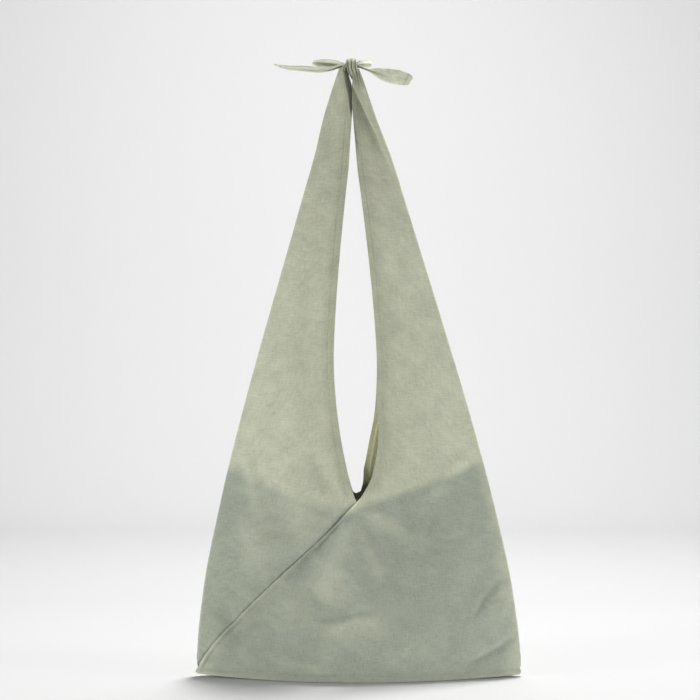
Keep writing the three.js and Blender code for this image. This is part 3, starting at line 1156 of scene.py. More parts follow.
    def normals(self, spots: Spots) -> np.ndarray:
        """Outward ways of the shell before its folds.

        Args:
            spots: places on the cloth.

        Returns:
            The unit vectors.
        """
        turn = 1e-3
        rise = 5e-4
        along = self.rest_points(spots.shifted(turn, 0.0)) - self.rest_points(spots.shifted(-turn, 0.0))
        up = self.rest_points(spots.shifted(0.0, rise)) - self.rest_points(spots.shifted(0.0, -rise))
        return unit(np.cross(along, up))

    def slack(self, spots: Spots) -> np.ndarray:
        """How far slack, fine folds and the crests under the knot lift the cloth.

        Args:
            spots: places on the cloth.

        Returns:
            The lift, outward, in metres.
        """
        x = self.front_x(spots)
        heights = spots.heights
        apart = x + self.slack_face_shift * spots.face
        total = sum(wave.lift(apart, wave.squeeze * heights) for wave in self.slack_waves)
        ripples = self.base_ripples.lift(x, self.base_ripples.squeeze * heights + spots.face)
        total += ripples * np.exp(-heights / self.base_ripple_height)
        total += sum(fold.lift(x, heights) for fold in self.fine_folds)
        crests = sum(crest.lift(x, heights) for crest in self.crests)
        return total + np.where(spots.face < 0.0, crests, 0.0)

    def seams(self, spots: Spots) -> np.ndarray:
        """How far seams and turned edges lift the cloth.

        Args:
            spots: places on the cloth.

        Returns:
            The lift, outward, in metres.
        """
        heights = spots.heights
        mouth_height = self.gap.mouth_height
        past = np.mod(spots.around - self.seam_around(heights) + 0.5, 1.0) - 0.5
        off = past * 2.0 * self.half_width(heights) * self.seam.slant
        sewn = self.seam.lift(off, heights, mouth_height) + self.base_seam.lift(heights)
        return sewn + self.turned_edge.lift(self.from_inner_edge(spots), heights, mouth_height)

    def lift(self, spots: Spots) -> np.ndarray:
        """How far folds, seams and slack lift the cloth.

        Args:
            spots: places on the cloth.

        Returns:
            The lift, outward, in metres.
        """
        x = self.front_x(spots)
        _, depth = self.section(spots)
        main = sum(fold.lift(x, spots.heights) for fold in self.main_folds)
        main = main * ramp(0.0, self.fold_full_depth, depth)
        slack = self.slack(spots) * ramp(0.0, self.slack_reach, spots.reach)
        return (slack + main) * ramp(0.0, self.fold_foot_height, spots.heights) + self.seams(spots)

    def fold_light_lift(self, spots: Spots) -> np.ndarray:
        """How far the cloth counts as standing off its lining, for the painted light on fold ridges and
        painted shade in fold hollows; each fold counts with a set share of its lift.

        Args:
            spots: places on the cloth.

        Returns:
            The distance, in metres.
        """
        x = self.front_x(spots)
        folds = self.main_folds + self.fine_folds
        # Each fold counts with only its painted share of its lift.
        unpainted_lift = sum((1.0 - fold.fold_light_share) * fold.lift(x, spots.heights) for fold in folds)
        return self.lift(spots) - unpainted_lift

    def surface(self, spots: Spots, inset: float = 0.0) -> np.ndarray:
        """Points of the draped cloth, or of a surface that is inset from it.

        Args:
            spots: places on the cloth.
            inset: how far inside the cloth the points lie.

        Returns:
            The points in the part's frame.
        """
        moved = (self.lift(spots) - inset)[..., None]
        return self.rest_points(spots) + self.normals(spots) * moved

    def lining_top(self, spots: Spots) -> np.ndarray:
        """Height of the lining's top edge, which dips under the mouth and climbs towards the sides.

        Args:
            spots: places on the cloth, whose heights tell how wide the bag is there.

        Returns:
            The height of the edge above the base.
        """
        out, _ = self.section(spots)
        to_lower_side = spots.face * spots.side * out
        drop = self.lining_drop * ramp(-self.lining_drop_reach, self.lining_drop_reach, to_lower_side)
        return self.lining_height - drop + self.lining_climb * out + self.lining_curve * out**2


def across_crease(piece: bpy.types.Object) -> None:
    """Bake a cloth's placement into its points.

    Args:
        piece: the cloth.
    """
    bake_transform(piece)


@dataclass(frozen=True)
class ClothShades:
    """Where one of the cloths looks darker, as shares from 0 to 1: over its lining and facings, and by
    painted light and shade.

    A rise or a fall is a pair between which a shade comes or goes. That of the lining's side is by reach,
    those of the lining's hem and of the mouth are from its top edge and from the mouth, and those of the
    facing and the edge are from the inner edge. The others are heights.
    """

    shell: BagShell
    lining_softness: float
    lining_side_rise: Pair
    lining_top_share: float
    lining_shade: float = 0.92
    lining_side_share: float = 0.35
    lining_settling: float = 0.06
    lining_hem_shade: float = 0.12
    lining_hem_rise: Pair = (-0.016, -0.010)
    bottom_rim_rise: Pair = (0.0010, 0.0032)
    # Strength and range of the painted light on fold ridges and painted shade in fold hollows.
    fold_light_strength: float = 0.60
    fold_light_least: float = -0.4
    full_fold_light_lift: float = 0.006
    mouth_rise: Pair = (-0.004, 0.02)
    facing_shade: float = 0.45
    facing_fall: Pair = (0.016, 0.006)
    # Painted shade across a strap, deepest at its inner edge.
    inner_side_shade: float = 0.35
    inner_side_shade_fall: Pair = (0.08, 0.0)
    # Painted shade in stripes under the knot on the right strap, and in a band high on the left strap.
    gathers: int = 4
    gather_least: float = 0.25
    gather_shade: float = 0.5
    gather_rise: Pair = (0.648, 0.664)
    upper_strap_shade: float = 0.08
    upper_strap_rise: Pair = (0.46, 0.54)
    upper_strap_fall: Pair = (0.64, 0.58)
    # Painted shade at the lower left corner of the front.
    low_corner_shade: float = 0.20
    low_corner_place: Pair = (-0.128, 0.066)
    low_corner_reach: Pair = (0.052, 0.050)

    def lined(self, spots: Spots) -> np.ndarray:
        """Where the lining shows through the thin cloth, lightened as painted light on fold ridges that stand
        off it and darkened as painted shade in fold hollows.

        Args:
            spots: places on the cloth.

        Returns:
            0 where there is no lining behind the cloth and up to 1 where there is.
        """
        above = spots.heights - self.shell.lining_top(spots)
        shown = ramp(self.lining_softness, -self.lining_softness, above)
        # No lining tone along the bottom rim, where the lining stops short of the base; this also paints a
        # pale rim of light along the bottom edge.
        shown = shown * ramp(*self.bottom_rim_rise, spots.heights)
        hem = self.lining_hem_shade * shown * ramp(*self.lining_hem_rise, above)
        under_top = ramp(0.0, -self.lining_settling, above)
        settled = self.lining_top_share + (1.0 - self.lining_top_share) * under_top
        # Painted light on fold ridges and painted shade in fold hollows.
        fold_light = np.clip(self.shell.fold_light_lift(spots) / self.full_fold_light_lift, self.fold_light_least, 1.0)
        pressed = self.lining_shade * settled + hem - self.fold_light_strength * fold_light
        past_side = ramp(*self.lining_side_rise, spots.reach)
        by_side = self.lining_side_share + (1.0 - self.lining_side_share) * past_side
        return np.clip(shown * by_side * pressed, 0.0, 1.0)

    def facing_and_strap_shade(self, spots: Spots) -> np.ndarray:
        """Where facings lie behind the cloth by a strap's inner edge, with painted shade that deepens across
        the strap towards that edge.

        Args:
            spots: places on the cloth.

        Returns:
            0 where the cloth is single and unshaded, rising towards a strap's inner edge.
        """
        off = self.shell.from_inner_edge(spots)
        free = ramp(*self.mouth_rise, spots.heights - self.shell.gap.mouth_height)
        faced = self.facing_shade * ramp(*self.facing_fall, off)
        # Painted shade across the strap, deepest at its inner edge.
        return free * (faced + self.inner_side_shade * ramp(*self.inner_side_shade_fall, off))

    def painted_shade(self, spots: Spots) -> np.ndarray:
        """Painted shade on the front: under the crests, in stripes under the knot on the right strap, high on
        the left strap and at the lower left corner.

        Args:
            spots: places on the cloth.

        Returns:
            0 where no shade is painted and up to 1 where it is darkest.
        """
        out, _ = self.shell.section(spots)
        x = spots.side * out
        heights = spots.heights
        overhung = sum(crest.shadow(x, heights) for crest in self.shell.crests)
        # Painted shade in stripes under the knot on the right strap, and in a band high on the left strap.
        pleats = 0.5 + 0.5 * np.cos(self.gathers * 2.0 * math.pi * spots.reach)
        under_knot_shade = ramp(*self.gather_rise, heights) * (self.gather_least + self.gather_shade * pleats)
        upper_strap = self.upper_strap_shade * hump(self.upper_strap_rise, self.upper_strap_fall, heights)
        by_strap = np.where(spots.side > 0.0, under_knot_shade, upper_strap)
        # Painted shade at the lower left corner of the front.
        low_corner = self.low_corner_shade * bell(x, self.low_corner_place[0], self.low_corner_reach[0])
        low_corner = low_corner * bell(heights, self.low_corner_place[1], self.low_corner_reach[1])
        return np.where(spots.face < 0.0, np.clip(overhung + by_strap + low_corner, 0.0, 1.0), 0.0)


@dataclass
class ClothHalf:
    """One of the two cloths. It wraps a side of the pouch and rises into that side's strap."""

    shell: BagShell
    side: Side
    shades: ClothShades
    top_height: float
    thickness: float = 0.0009
    seam_trim: float = 0.0007
    curl_height: float = 0.012
    gathered_height: float = 0.55
    curl_rows: int = 11
    pouch_rows: int = 72
    strap_rows: int = 100
    strap_row_spread: float = 1.6
    top_rows: int = 84
    columns: int = 180
    edge_crowding: float = 3.0
    edge_reach: float = 0.025
    bend_crowding: float = 1.5
    bend_reach: float = 0.035
    flat: Pair = (0.46, 0.76)

    def row_heights(self) -> np.ndarray:
        """Heights of the rows, close together at the curl under the base, at the mouth and at the knot.

        Returns:
            The heights above the base, from the lowest.
        """
        mouth_height = self.shell.gap.mouth_height
        curl = np.linspace(0.0, self.curl_height, self.curl_rows)
        pouch = np.linspace(self.curl_height, mouth_height, self.pouch_rows)[1:]
        climb = np.linspace(0.0, 1.0, self.strap_rows)[1:] ** self.strap_row_spread
        strap = mouth_height + (self.gathered_height - mouth_height) * climb
        top = np.linspace(self.gathered_height, self.top_height, self.top_rows)[1:]
        return np.concatenate([curl, pouch, strap, top])

    def edge_around(self) -> float:
        """Where the side edge that the cloth wraps stands round the bag."""
        return 1.0 if self.side is Side.RIGHT else 2.0

    def column_shares(self, bend: float) -> np.ndarray:
        """Places of the columns across one row, close together at both edges and round the side of the bag.

        Args:
            bend: share of the way across at which the cloth turns round the side.

        Returns:
            The shares, from 0 to 1.
        """
        fine_steps = 2001
        fine = np.linspace(0.0, 1.0, fine_steps)
        near_edges = np.exp(-fine / self.edge_reach) + np.exp(-(1.0 - fine) / self.edge_reach)
        near_bend = bell(fine, bend, self.bend_reach)
        density = 1.0 + self.edge_crowding * near_edges + self.bend_crowding * near_bend
        total = np.concatenate([[0.0], np.cumsum((density[1:] + density[:-1]) / 2.0)])
        return np.interp(np.linspace(0.0, total[-1], self.columns), total, fine)

    def places(self) -> Spots:
        """Places of the grid's points.

        Returns:
            The places for each row and column.
        """
        heights = self.row_heights()
        seam = self.shell.seam_around(heights)
        start = self.edge_around() - 1.0 + seam + self.seam_trim
        share = np.array([self.column_shares(1.0 - row_seam) for row_seam in seam])
        around = start[:, None] + (1.0 - 2.0 * self.seam_trim) * share
        return Spots(around, np.broadcast_to(heights[:, None], around.shape))

    def build(self, linen: bpy.types.Material) -> bpy.types.Object:
        """Args:
            linen: the cloth's finish.

        Returns:
            The piece.
        """
        name = self.side.name.lower()
        spots = self.places()
        points = self.shell.surface(spots)
        columns = np.arange(self.columns)
        side_columns = np.array([np.interp(self.edge_around(), row, columns) for row in spots.around])
        piece = grid_piece(f"{name}_draped_cloth", points, flat_coordinates(points, side_columns))
        # The lining and facings behind the cloth, together with painted light and shade.
        mark(piece, "lined", self.shades.lined(spots))
        mark(piece, "facing_and_strap_shade", self.shades.facing_and_strap_shade(spots))
        mark(piece, "painted_shade", self.shades.painted_shade(spots))
        thicken(piece, self.thickness)
        piece.data.materials.append(linen)
        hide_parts(f"{name}_cloth", f"{name}_strap")
        across_crease(piece)
        return piece


@dataclass
class Facing:
    """Bias strip that finishes one inner edge of a strap, on the inside of the cloth."""

    shell: BagShell
    side: Side
    face: Face
    width: float = 0.010
    most_of_strap: float = 0.6
    thickness: float = 0.00045
    inset: float = 0.0009
    edge_gap: float = 0.0003
    bottom_rise: float = 0.004
    top_height: float = 0.636
    rows: int = 150
    columns: int = 9
    flat: Pair = (0.010, 0.45)

    def around(self, reach: np.ndarray) -> np.ndarray:
        """Where a reach on this strap and face lies round the bag."""
        across = reach / 2.0 if self.side is Side.LEFT else 1.0 - reach / 2.0
        return across if self.face is Face.FRONT else 2.0 - across

    def places(self) -> Spots:
        """Places of the grid's points.

        Returns:
            The places for each row and column.
        """
        gap = self.shell.gap
        lip = gap.back_lip if self.face is Face.BACK else gap.mouth_height
        heights = np.linspace(lip + self.bottom_rise, self.top_height, self.rows)[:, None]
        mid_strap = Spots(self.around(np.full_like(heights, 0.5)), heights)
        off = np.linspace(self.edge_gap, self.width, self.columns)[None, :]
        strap_share = np.minimum(off / self.shell.strap_width(mid_strap), self.most_of_strap)
        around = self.around(1.0 - strap_share)
        return Spots(around, np.broadcast_to(heights, around.shape))

    def build(self, finish: bpy.types.Material) -> bpy.types.Object:
        """Args:
            finish: the strip's finish.

        Returns:
            The piece.
        """
        side = self.side.name.lower()
        name = f"{side}_{self.face.name.lower()}"
        points = self.shell.surface(self.places(), self.inset)
        piece = grid_piece(f"{name}_bias_strip", points, flat_coordinates(points))
        thicken(piece, self.thickness)
        piece.data.materials.append(finish)
        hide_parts(f"{name}_mouth_facing", f"{name}_strap_facing")
        across_crease(piece)
        return piece


@dataclass
class Lining:
    """Lining of one face of the pouch."""

    shell: BagShell
    face: Face
    side_reach: float = 0.16
    inset: float = 0.0030
    thickness: float = 0.0007
    foot_height: float = 0.003
    rows: int = 60
    columns: int = 110
    flat: Pair = (0.32, 0.22)

    def places(self) -> Spots:
        """Places of the grid's points.

        Returns:
            The places for each row and column.
        """
        start = 0.0 if self.face is Face.FRONT else 1.0
        trim = self.side_reach / 2.0
        around = np.linspace(start + trim, start + 1.0 - trim, self.columns)[None, :]
        at_mouth = Spots(around, np.full_like(around, self.shell.gap.mouth_height))
        rise = np.linspace(0.0, 1.0, self.rows)[:, None]
        heights = self.foot_height + (self.shell.lining_top(at_mouth) - self.foot_height) * rise
        return Spots(np.broadcast_to(around, heights.shape), heights)

    def build(self, finish: bpy.types.Material) -> bpy.types.Object:
        """Args:
            finish: the lining's finish.

        Returns:
            The piece.
        """
        name = self.face.name.lower()
        points = self.shell.surface(self.places(), self.inset)
        piece = grid_piece(f"{name}_pouch_lining", points, flat_coordinates(points))
        thicken(piece, self.thickness)
        piece.data.materials.append(finish)
        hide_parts(f"{name}_lining")
        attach(piece, "pouch")
        return piece


@dataclass
class BasePanel:
    """Pointed oval bottom that both cloths are sewn to."""

    shell: BagShell
    thickness: float = 0.0009
    crown: float = 0.0006
    end_trim: float = 0.004
    rows: int = 33
    columns: int = 110
    flat: Pair = (0.35, 0.08)

    def points(self) -> np.ndarray:
        """Points of the panel, from the foot of the back to the foot of the front.

        Returns:
            The points by row and column.
        """
        across = np.linspace(self.end_trim, 1.0 - self.end_trim, self.columns)[None, :]
        ground = np.zeros_like(across)
        front = self.shell.surface(Spots(across, ground))
        back = self.shell.surface(Spots(2.0 - across, ground))
        share = np.linspace(-1.0, 1.0, self.rows)[:, None]
        points = front + (back - front) * (1.0 + share[..., None]) / 2.0
        points[..., 2] += self.thickness / 2.0 + self.crown * (1.0 - share**2)
        return points[::-1]

    def build(self, linen: bpy.types.Material) -> bpy.types.Object:
        """Args:
            linen: the panel's finish.

        Returns:
            The piece.
        """
        points = self.points()
        piece = grid_piece("base_oval", points, flat_coordinates(points))
        thicken(piece, self.thickness)
        piece.data.materials.append(linen)
        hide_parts("base_panel")
        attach(piece, "pouch")
        return piece


@dataclass
class KnotWrap:
    """One strap end in the knot: a crumpled strand with lengthwise pleats, along stops from the knot's
    middle.

    The pleats twist and wander along the strand. Tucked is the painted shade on its lower end and one stretch
    of its left edge, where they go under the other strand.
    """

    name: str
    node: str
    stops: tuple[Triple, ...]
    half_width: float
    half_thickness: float
    knot: Triple
    end_share: float = 0.75
    pleats: int = 7
    pleat_depth: float = 0.6
    pleat_roundness: float = 0.7
    pleat_twist: float = 1.6
    pleat_wander: float = 0.8
    pleat_wander_waves: float = 7.0
    # Least painted shade, on the tops of the pleats; the grooves between them are fully shaded.
    least_strand_shade: float = 0.10
    tucked: float = 0.0
    tucked_end_fall: Pair = (0.20, 0.05)
    tucked_edge_rise: Pair = (-0.5, -0.95)
    tucked_edge_middle: float = 0.28
    tucked_edge_reach: float = 0.14
    rings: int = 64
    ring_points: int = 84
    ring_step: float = 0.0008
    girth_share: float = 8.0

    def angles(self) -> np.ndarray:
        """Angles of the points round a ring, as one row."""
        return np.linspace(0.0, 2.0 * math.pi, self.ring_points, endpoint=False)[None, :]

    def shares(self) -> np.ndarray:
        """Shares of the way along the strand that its rings stand at, as one column."""
        return np.linspace(0.0, 1.0, self.rings)[:, None]

    def pleat_heights(self) -> np.ndarray:
        """Height of the pleats at each ring and point, from 0 to 1."""
        wander = self.pleat_wander * np.sin(self.pleat_wander_waves * self.shares())
        phase = 0.5 * self.pleats * self.angles() + self.pleat_twist * self.shares() + wander
        return np.abs(np.sin(phase)) ** self.pleat_roundness

    def points(self) -> np.ndarray:
        """Points of the strand's skin.

        Returns:
            The points by ring and place round it, in the part's frame.
        """
        path = smooth_path(self.stops, self.rings) + np.array(self.knot)
        tangent = path_ways(path)
        width_way = square_to(tangent, np.array([1.0, 0.0, 0.0]))
        swell = self.end_share + (1.0 - self.end_share) * np.sin(math.pi * self.shares())
        lift = np.sin(self.angles())
        ridge = 1.0 - self.pleat_depth * (1.0 - self.pleat_heights()) * np.sqrt(np.abs(lift))
        wide = spread(self.half_width * swell * np.cos(self.angles()), width_way)
        thick = spread(self.half_thickness * swell * ridge * lift, np.cross(tangent, width_way))
        return path[:, None, :] + wide + thick

    def painted_darkness(self) -> np.ndarray:
        """Painted shade between the strand's pleats and where it goes under the other strand.

        Returns:
            The painted shade at each ring and point, from 0 to 1.
        """
        between = self.least_strand_shade + (1.0 - self.least_strand_shade) * np.sqrt(1.0 - self.pleat_heights())
        on_left = ramp(*self.tucked_edge_rise, np.cos(self.angles()))
        under_edge = on_left * bell(self.shares(), self.tucked_edge_middle, self.tucked_edge_reach)
        tuck = self.tucked * np.maximum(ramp(*self.tucked_end_fall, self.shares()), under_edge)
        return np.clip(between + tuck, 0.0, 1.0)

    def lay_uv(self, piece: bpy.types.Object) -> None:
        """Give the strand flat cloth coordinates along it and, from its edges to its middle, round it.

        Args:
            piece: the strand.
        """
        corners = corner_points(piece.data)
        girth = self.girth_share * self.half_width
        turn = np.abs((corners % self.ring_points) / self.ring_points - 0.5) * girth
        along = (corners // self.ring_points) * self.ring_step
        layer = piece.data.uv_layers.new(name="UVMap")
        layer.data.foreach_set("uv", np.stack([turn, along], axis=1).reshape(-1).astype(np.float32))

    def build(self, linen: bpy.types.Material) -> bpy.types.Object:
        """Make the strand and dress it.

        Args:
            linen: the strand's finish.

        Returns:
            The piece.
        """
        faces = tube_faces(self.rings, self.ring_points)
        piece = mesh_piece(self.name, self.points().reshape(-1, 3), faces)
        self.lay_uv(piece)
        # Painted shade between the pleats and under the other strand.
        mark(piece, "painted_shade", self.painted_darkness())
        piece.data.materials.append(linen)
        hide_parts(self.node)
        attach(piece, "handle")
        return piece


@dataclass
class TailLeaf:
    """Loose strap end beyond the knot: a leaf of cloth folded lengthwise, along stops in the part's frame.

    Widths are half widths by the share of the way along. Places and widths of the dent and the crease are
    shares of the way from the folded edge to the open one. Rises, falls and where the crease and the hem
    lie along the leaf are shares of its length.
    """

    side: Side
    stops: tuple[Triple, ...]
    widths: tuple[Pair, ...]
    opening: float
    slant: float
    flat: Pair
    cut_share: float
    thickness: float = 0.0008
    root_reach: float = 0.014
    root_row: int = 4
    rows: int = 90
    columns: int = 33
    end_skew: float = 0.0
    end_skew_rise: Pair = (0.7, 1.0)
    crimps: Slack = Slack(0.0005, 0.02, 12.0, 41)
    crimp_run: float = 0.08
    dent_depth: float = 0.0009
    dent_fall: Pair = (0.6, 0.2)
    dent_place: float = 0.5
    dent_width: float = 0.12
    root_shade: float = 0.55
    root_pleat_shade: float = 0.35
    root_pleats: float = 7.0
    root_shade_fall: Pair = (0.34, 0.0)
    crease_shade: float = 0.9
    crease_reach: float = 0.70
    crease_start: float = 0.15
    crease_place: float = 0.42
    crease_width: float = 0.18
    hem_shade: float = 0.3
    hem_place: float = 0.91
    hem_width: float = 0.018

    def shares(self) -> np.ndarray:
        """Shares of the way along the leaf that its rows stand at, as one column."""
        return np.linspace(0.0, 1.0, self.rows)[:, None]

    def plies(self) -> np.ndarray:
        """Places of the columns as one row, from -1 to 1 over both layers, with 0 at the folded edge."""
        return np.linspace(-1.0, 1.0, self.columns)[None, :]

    def crumple(self, width: np.ndarray) -> np.ndarray:
        """How crimps and a dent towards the knot move the cloth.

        Args:
            width: half width of each row.

        Returns:
            The move at each row and column, in metres.
        """
        from_fold = np.abs(self.plies())
        across = self.crimps.squeeze * from_fold * width
        seed = self.crimps.seed + self.side.value
        crimp = soft_noise(across, self.shares() * self.crimp_run, self.crimps.length, seed)
        near_knot = ramp(*self.dent_fall, self.shares())
        dent = self.dent_depth * near_knot * bell(from_fold, self.dent_place, self.dent_width)
        return self.crimps.rise * crimp - dent

    def points(self) -> np.ndarray:
        """Points of the leaf.

        Returns:
            The points by row and column, in the part's frame.
        """
        path = smooth_path(self.stops, self.rows)
        tangent = path_ways(path)
        up = np.array([0.0, -math.sin(self.slant), math.cos(self.slant)])
        width_way = square_to(tangent, up)
        width = smooth_through(self.widths, self.shares())
        from_fold = np.abs(self.plies())
        across = width * (2.0 * from_fold - 1.0)
        gape = self.opening * np.sqrt(width / np.max(width))
        apart = np.sign(self.plies()) * gape * np.sqrt(np.maximum(1.0 - (1.0 - from_fold) ** 2, 0.0))
        skew = self.end_skew * ramp(*self.end_skew_rise, self.shares()) * across / width
        flat_points = path[:, None, :] + spread(across, width_way) + spread(skew, tangent)
        return flat_points + spread(apart + self.crumple(width), np.cross(tangent, width_way))

    def painted_darkness(self) -> np.ndarray:
        """Painted shade where the leaf goes into the knot, along its crease and at its hem.

        Returns:
            The painted shade at each row and column, from 0 to 1.
        """
        share = self.shares()
        from_fold = np.abs(self.plies())
        pleats = self.root_shade + self.root_pleat_shade * np.cos(self.root_pleats * math.pi * from_fold)
        drawn_in = ramp(*self.root_shade_fall, share) * pleats
        creased = ramp(self.crease_reach, self.crease_start, share)
        creased = self.crease_shade * creased * bell(from_fold, self.crease_place, self.crease_width)
        hemmed = self.hem_shade * bell(share, self.hem_place, self.hem_width)
        return np.clip(drawn_in + creased + hemmed, 0.0, 1.0)

    def build(self, linen: bpy.types.Material) -> bpy.types.Object:
        """Args:
            linen: the leaf's finish.

        Returns:
            The piece.
        """
        name = self.side.name.lower()
        points = self.points()
        piece = grid_piece(f"{name}_tail_leaf", points, flat_coordinates(points))
        # Painted shade at the root, along the crease and at the hem.
        mark(piece, "painted_shade", self.painted_darkness())
        thicken(piece, self.thickness)
        piece.data.materials.append(linen)
        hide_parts(f"{name}_tail")
        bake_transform(piece)
        return piece


@dataclass
class BowLoop:
    """Loop of the bow: a band of cloth that leaves the back of the knot, turns over and comes back."""

    side: Side
    root: Triple
    tip: Triple
    band_width: float = 0.0105
    root_band_width: float = 0.003
    half_gap: float = 0.0035
    gap_bulge: float = 0.25
    thickness: float = 0.0008
    open_turn: float = 0.93
    leaf_turn: float = 0.985
    leaf_roundness: float = 0.8
    root_share: float = 0.25
    rows: int = 90
    columns: int = 11
    flat: Pair = (0.0105, 0.085)
    tilt: float = 0.0

    def points(self) -> np.ndarray:
        """Points of the band.

        Returns:
            The points by row and column, in the part's frame.
        """
        root = np.array(self.root)
        run = np.array(self.tip) - root
        way = unit(run)
        up = unit(np.array([0.0, 0.0, 1.0]) - way * way[2])
        out = np.cross(way, up)
        up = up * math.cos(self.tilt) + out * math.sin(self.tilt)
        angle = np.linspace(-self.open_turn * math.pi, self.open_turn * math.pi, self.rows)[:, None]
        share = (1.0 + np.cos(angle)) / 2.0
        across = np.linspace(-0.5, 0.5, self.columns)[None, :]
        leaf = np.sin(self.leaf_turn * math.pi * share) ** self.leaf_roundness
        band = self.root_band_width + (self.band_width - self.root_band_width) * leaf
        apart = self.half_gap * np.sin(angle) * (1.0 + self.gap_bulge * np.cos(2.0 * math.pi * across))
        return root + share[..., None] * run + (across * band)[..., None] * up + apart[..., None] * out

    def build(self, linen: bpy.types.Material) -> bpy.types.Object:
        """Args:
            linen: the loop's finish.

        Returns:
            The piece.
        """
        name = self.side.name.lower()
        points = self.points()
        piece = grid_piece(f"{name}_bow_band", points, flat_coordinates(points))
        thicken(piece, self.thickness)
        piece.data.materials.append(linen)
        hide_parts(f"{name}_bow_loop")
        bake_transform(piece)
        return piece


@dataclass(frozen=True)
class SoftBox:
    """Square soft light. Size is the length of its sides in metres and power is in watts."""

    name: str
    place: Triple
    aim: Triple
    size: float
    power: float

    def hang(self) -> None:
        """Hang the light in its place and turn it to its aim."""
        data = bpy.data.lights.new(f"{self.name}_softbox", "AREA")
        data.size = self.size
        data.energy = self.power
        light = bpy.data.objects.new(f"{self.name}_softbox", data)
        light.location = self.place
        way = np.array(self.aim) - np.array(self.place)
        level = math.hypot(way[0], way[1])
        light.rotation_euler = (math.atan2(level, -way[2]), 0.0, math.atan2(-way[0], way[1]))
        bpy.context.scene.collection.objects.link(light)


@dataclass
class Studio:
    """Plain pale floor that sweeps up into a backdrop, soft lights, and the camera at the photo's angle."""

    camera_distance: float = 2.0
    picture_width: float = 0.7778
    sensor_width: float = 36.0
    aim_x: float = -0.00215
    aim_height: float = 0.3622
    origin_height: float = 0.664
    floor_drop: float = 0.0006
    floor_fronts: Pair = (-5.0, -1.0)
    sweep_radius: float = 0.7
    sweep_steps: int = 24
    wall_distance: float = 2.35
    wall_top: float = 3.5
    half_span: float = 4.0
    span_points: int = 9
    world_strength: float = 0.16
    lights: tuple[SoftBox, ...] = (
        SoftBox("top", (0.22, 0.26, 1.45), (0.0, 0.0, -0.30), 0.32, 46.0),
        SoftBox("left", (-1.75, -0.95, -0.46), (0.0, 0.0, -0.30), 0.38, 31.0),
        SoftBox("right", (1.75, -0.55, -0.46), (0.0, 0.0, -0.30), 0.38, 21.0),
        SoftBox("backdrop", (0.0, 0.9, 1.5), (0.0, 2.35, -0.1), 0.8, 12.0),
    )

    def build(self) -> None:
        """Set up the camera, the sweep, the world and the lights."""
        self.add_camera()
        self.add_sweep()
        self.light_world()
        for light in self.lights:
            light.hang()

    def add_camera(self) -> None:
        """Stand the camera level, at the height that the photo was taken from."""
        lens_data = bpy.data.cameras.new("photo_camera")
        lens_data.sensor_width = self.sensor_width
        lens_data.lens = self.sensor_width * self.camera_distance / self.picture_width
        camera = bpy.data.objects.new("photo_camera", lens_data)
        camera.location = (self.aim_x, -self.camera_distance, self.aim_height - self.origin_height)
        camera.rotation_euler = (math.pi / 2.0, 0.0, 0.0)
        bpy.context.scene.collection.objects.link(camera)
        bpy.context.scene.camera = camera

    def add_sweep(self) -> None:
        """Lay the floor, which curves up into the backdrop."""
        floor = -self.origin_height - self.floor_drop
        bend = np.linspace(0.0, math.pi / 2.0, self.sweep_steps)
        bend_y = self.wall_distance - self.sweep_radius + self.sweep_radius * np.sin(bend)
        bend_z = floor + self.sweep_radius * (1.0 - np.cos(bend))
        profile_y = np.concatenate([self.floor_fronts, bend_y, [self.wall_distance]])[:, None]
        profile_z = np.concatenate([[floor, floor], bend_z, [self.wall_top]])[:, None]
        x = np.linspace(-self.half_span, self.half_span, self.span_points)[None, :]
        points = np.stack(np.broadcast_arrays(x, profile_y, profile_z), axis=2)
        sweep = grid_piece("paper_sweep", points, points[..., :2])
        bpy.ops.object.shade_smooth()
        sweep.data.materials.append(StudioFinish().make())

    def light_world(self) -> None:
        """Fill the room with even white light."""
        world = bpy.data.worlds.new("studio_room")
        bpy.context.scene.world = world
        world.use_nodes = True
        background = world.node_tree.nodes["Background"]
        background.inputs["Color"].default_value = (1.0, 1.0, 1.0, 1.0)
        background.inputs["Strength"].default_value = self.world_strength
        bpy.context.scene.view_settings.view_transform = "Standard"


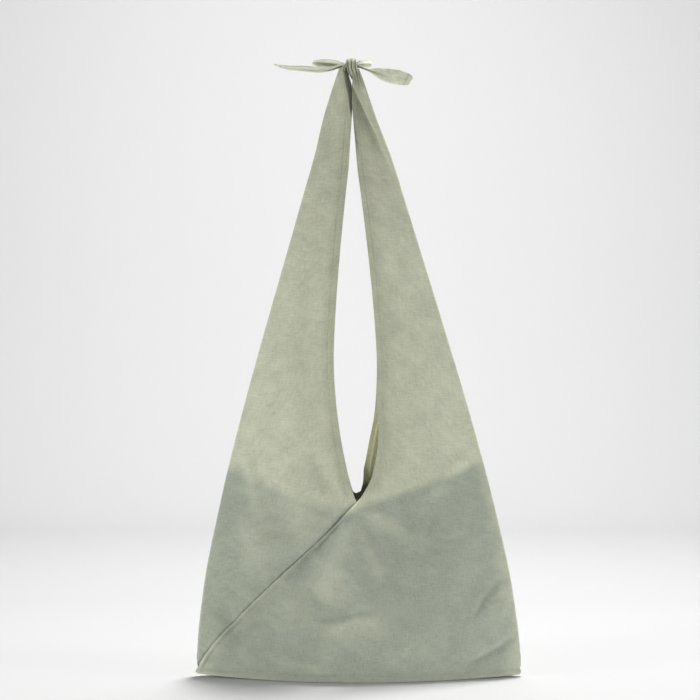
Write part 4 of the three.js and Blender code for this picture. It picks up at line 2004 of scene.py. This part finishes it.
@dataclass
class KnotBag:
    """The whole dressed bag."""

    shell: BagShell = BagShell()
    knot: Triple = (-0.00015, 0.0, 0.013)

    def build(self) -> None:
        """Make the finishes and every piece, and report each."""
        linen = LINEN.make()
        lining = LINING.make()
        facing = FACING.make()
        pieces = [cloth.build(linen) for cloth in self.cloths()]
        pieces.append(BasePanel(self.shell).build(linen))
        pieces += [Lining(self.shell, face).build(lining) for face in Face]
        pieces += [Facing(self.shell, side, face).build(facing) for side in Side for face in Face]
        pieces += [part.build(linen) for part in [*self.wraps(), *self.tails(), *self.loops()]]
        for piece in pieces:
            LOG.info("built %s with %d faces", piece.name, len(piece.data.polygons))

    def cloths(self) -> list[ClothHalf]:
        """The two cloths. The lining shows more softly through the left one, and less at its own top edge.

        Returns:
            The cloths, ready to build.
        """
        left_shades = ClothShades(
            self.shell, lining_softness=0.011, lining_side_rise=(-0.02, 0.04), lining_top_share=0.85
        )
        right_shades = ClothShades(
            self.shell, lining_softness=0.006, lining_side_rise=(0.02, 0.16), lining_top_share=1.0
        )
        return [
            ClothHalf(self.shell, Side.LEFT, left_shades, top_height=0.6815),
            ClothHalf(self.shell, Side.RIGHT, right_shades, top_height=0.674),
        ]

    def wraps(self) -> list[KnotWrap]:
        """The knot's two strands: the right one turns over the left one, which crosses behind it.

        Returns:
            The strands, ready to build.
        """
        over = (
            (0.0040, -0.0015, -0.0130), (0.0022, -0.0045, -0.0085), (0.0004, -0.0062, -0.0025),
            (-0.0004, -0.0056, 0.0036), (-0.0006, -0.0022, 0.0068), (-0.0006, 0.0022, 0.0066),
            (-0.0004, 0.0052, 0.0025), (-0.0002, 0.0056, -0.0030), (0.0000, 0.0044, -0.0085),
        )
        across = (
            (-0.0085, -0.0010, -0.0070), (-0.0084, -0.0030, -0.0010), (-0.0060, -0.0040, 0.0020),
            (-0.0026, -0.0032, 0.0010), (0.0014, -0.0005, 0.0000), (0.0052, 0.0015, 0.0006),
            (0.0090, -0.0010, 0.0005),
        )
        return [
            KnotWrap("right_knot_wrap", "right_knot_turn", over, half_width=0.0062, half_thickness=0.0030,
                     knot=self.knot, pleats=9, tucked=0.45),
            KnotWrap("left_knot_wrap", "left_knot_turn", across, half_width=0.0022, half_thickness=0.0026,
                     knot=self.knot, pleats=5),
        ]

    def tails(self) -> list[TailLeaf]:
        """The two loose ends: the left one narrow and pointed, the right one broad with a cut end.

        Returns:
            The ends, ready to build.
        """
        left_stops = (
            (-0.0075, -0.002, 0.0150), (-0.0160, -0.003, 0.0125), (-0.0270, -0.003, 0.0092),
            (-0.0540, -0.002, 0.0102), (-0.0740, -0.002, 0.0120), (-0.0866, -0.002, 0.0150),
        )
        right_stops = (
            (0.0055, -0.002, 0.0138), (0.0120, -0.003, 0.0114), (0.0190, -0.003, 0.0088),
            (0.0273, -0.003, 0.0064), (0.0400, -0.003, 0.0026), (0.0528, -0.003, 0.0004),
            (0.0655, -0.002, -0.0028),
        )
        left_widths = ((0.0, 0.0010), (0.15, 0.0018), (0.35, 0.0034), (0.75, 0.0027), (1.0, 0.0004))
        right_widths = (
            (0.0, 0.0009), (0.22, 0.0014), (0.36, 0.0042), (0.57, 0.0073),
            (0.78, 0.0076), (0.92, 0.0066), (0.98, 0.0052), (1.0, 0.0040),
        )
        return [
            TailLeaf(Side.LEFT, left_stops, left_widths, opening=0.0011, slant=0.75, flat=(0.016, 0.085),
                     cut_share=0.71, crease_reach=1.15),
            TailLeaf(Side.RIGHT, right_stops, right_widths, opening=0.0018, slant=0.3, flat=(0.024, 0.068),
                     cut_share=0.87, end_skew=0.0012),
        ]

    def loops(self) -> list[BowLoop]:
        """The two loops behind the knot.

        Returns:
            The loops, ready to build.
        """
        return [
            BowLoop(Side.LEFT, root=(-0.0050, 0.0072, 0.0150), tip=(-0.0440, 0.0230, 0.0212), tilt=0.25),
            BowLoop(Side.RIGHT, root=(0.0046, 0.0072, 0.0165), tip=(0.0215, 0.0400, 0.0225),
                    band_width=0.0080, flat=(0.010, 0.075)),
        ]


def main() -> None:
    """Load the frame, set up the studio and dress the bag."""
    logging.basicConfig(level=logging.INFO, format="%(message)s")
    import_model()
    Studio().build()
    KnotBag().build()
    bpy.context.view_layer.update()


if __name__ == "__main__":
    main()
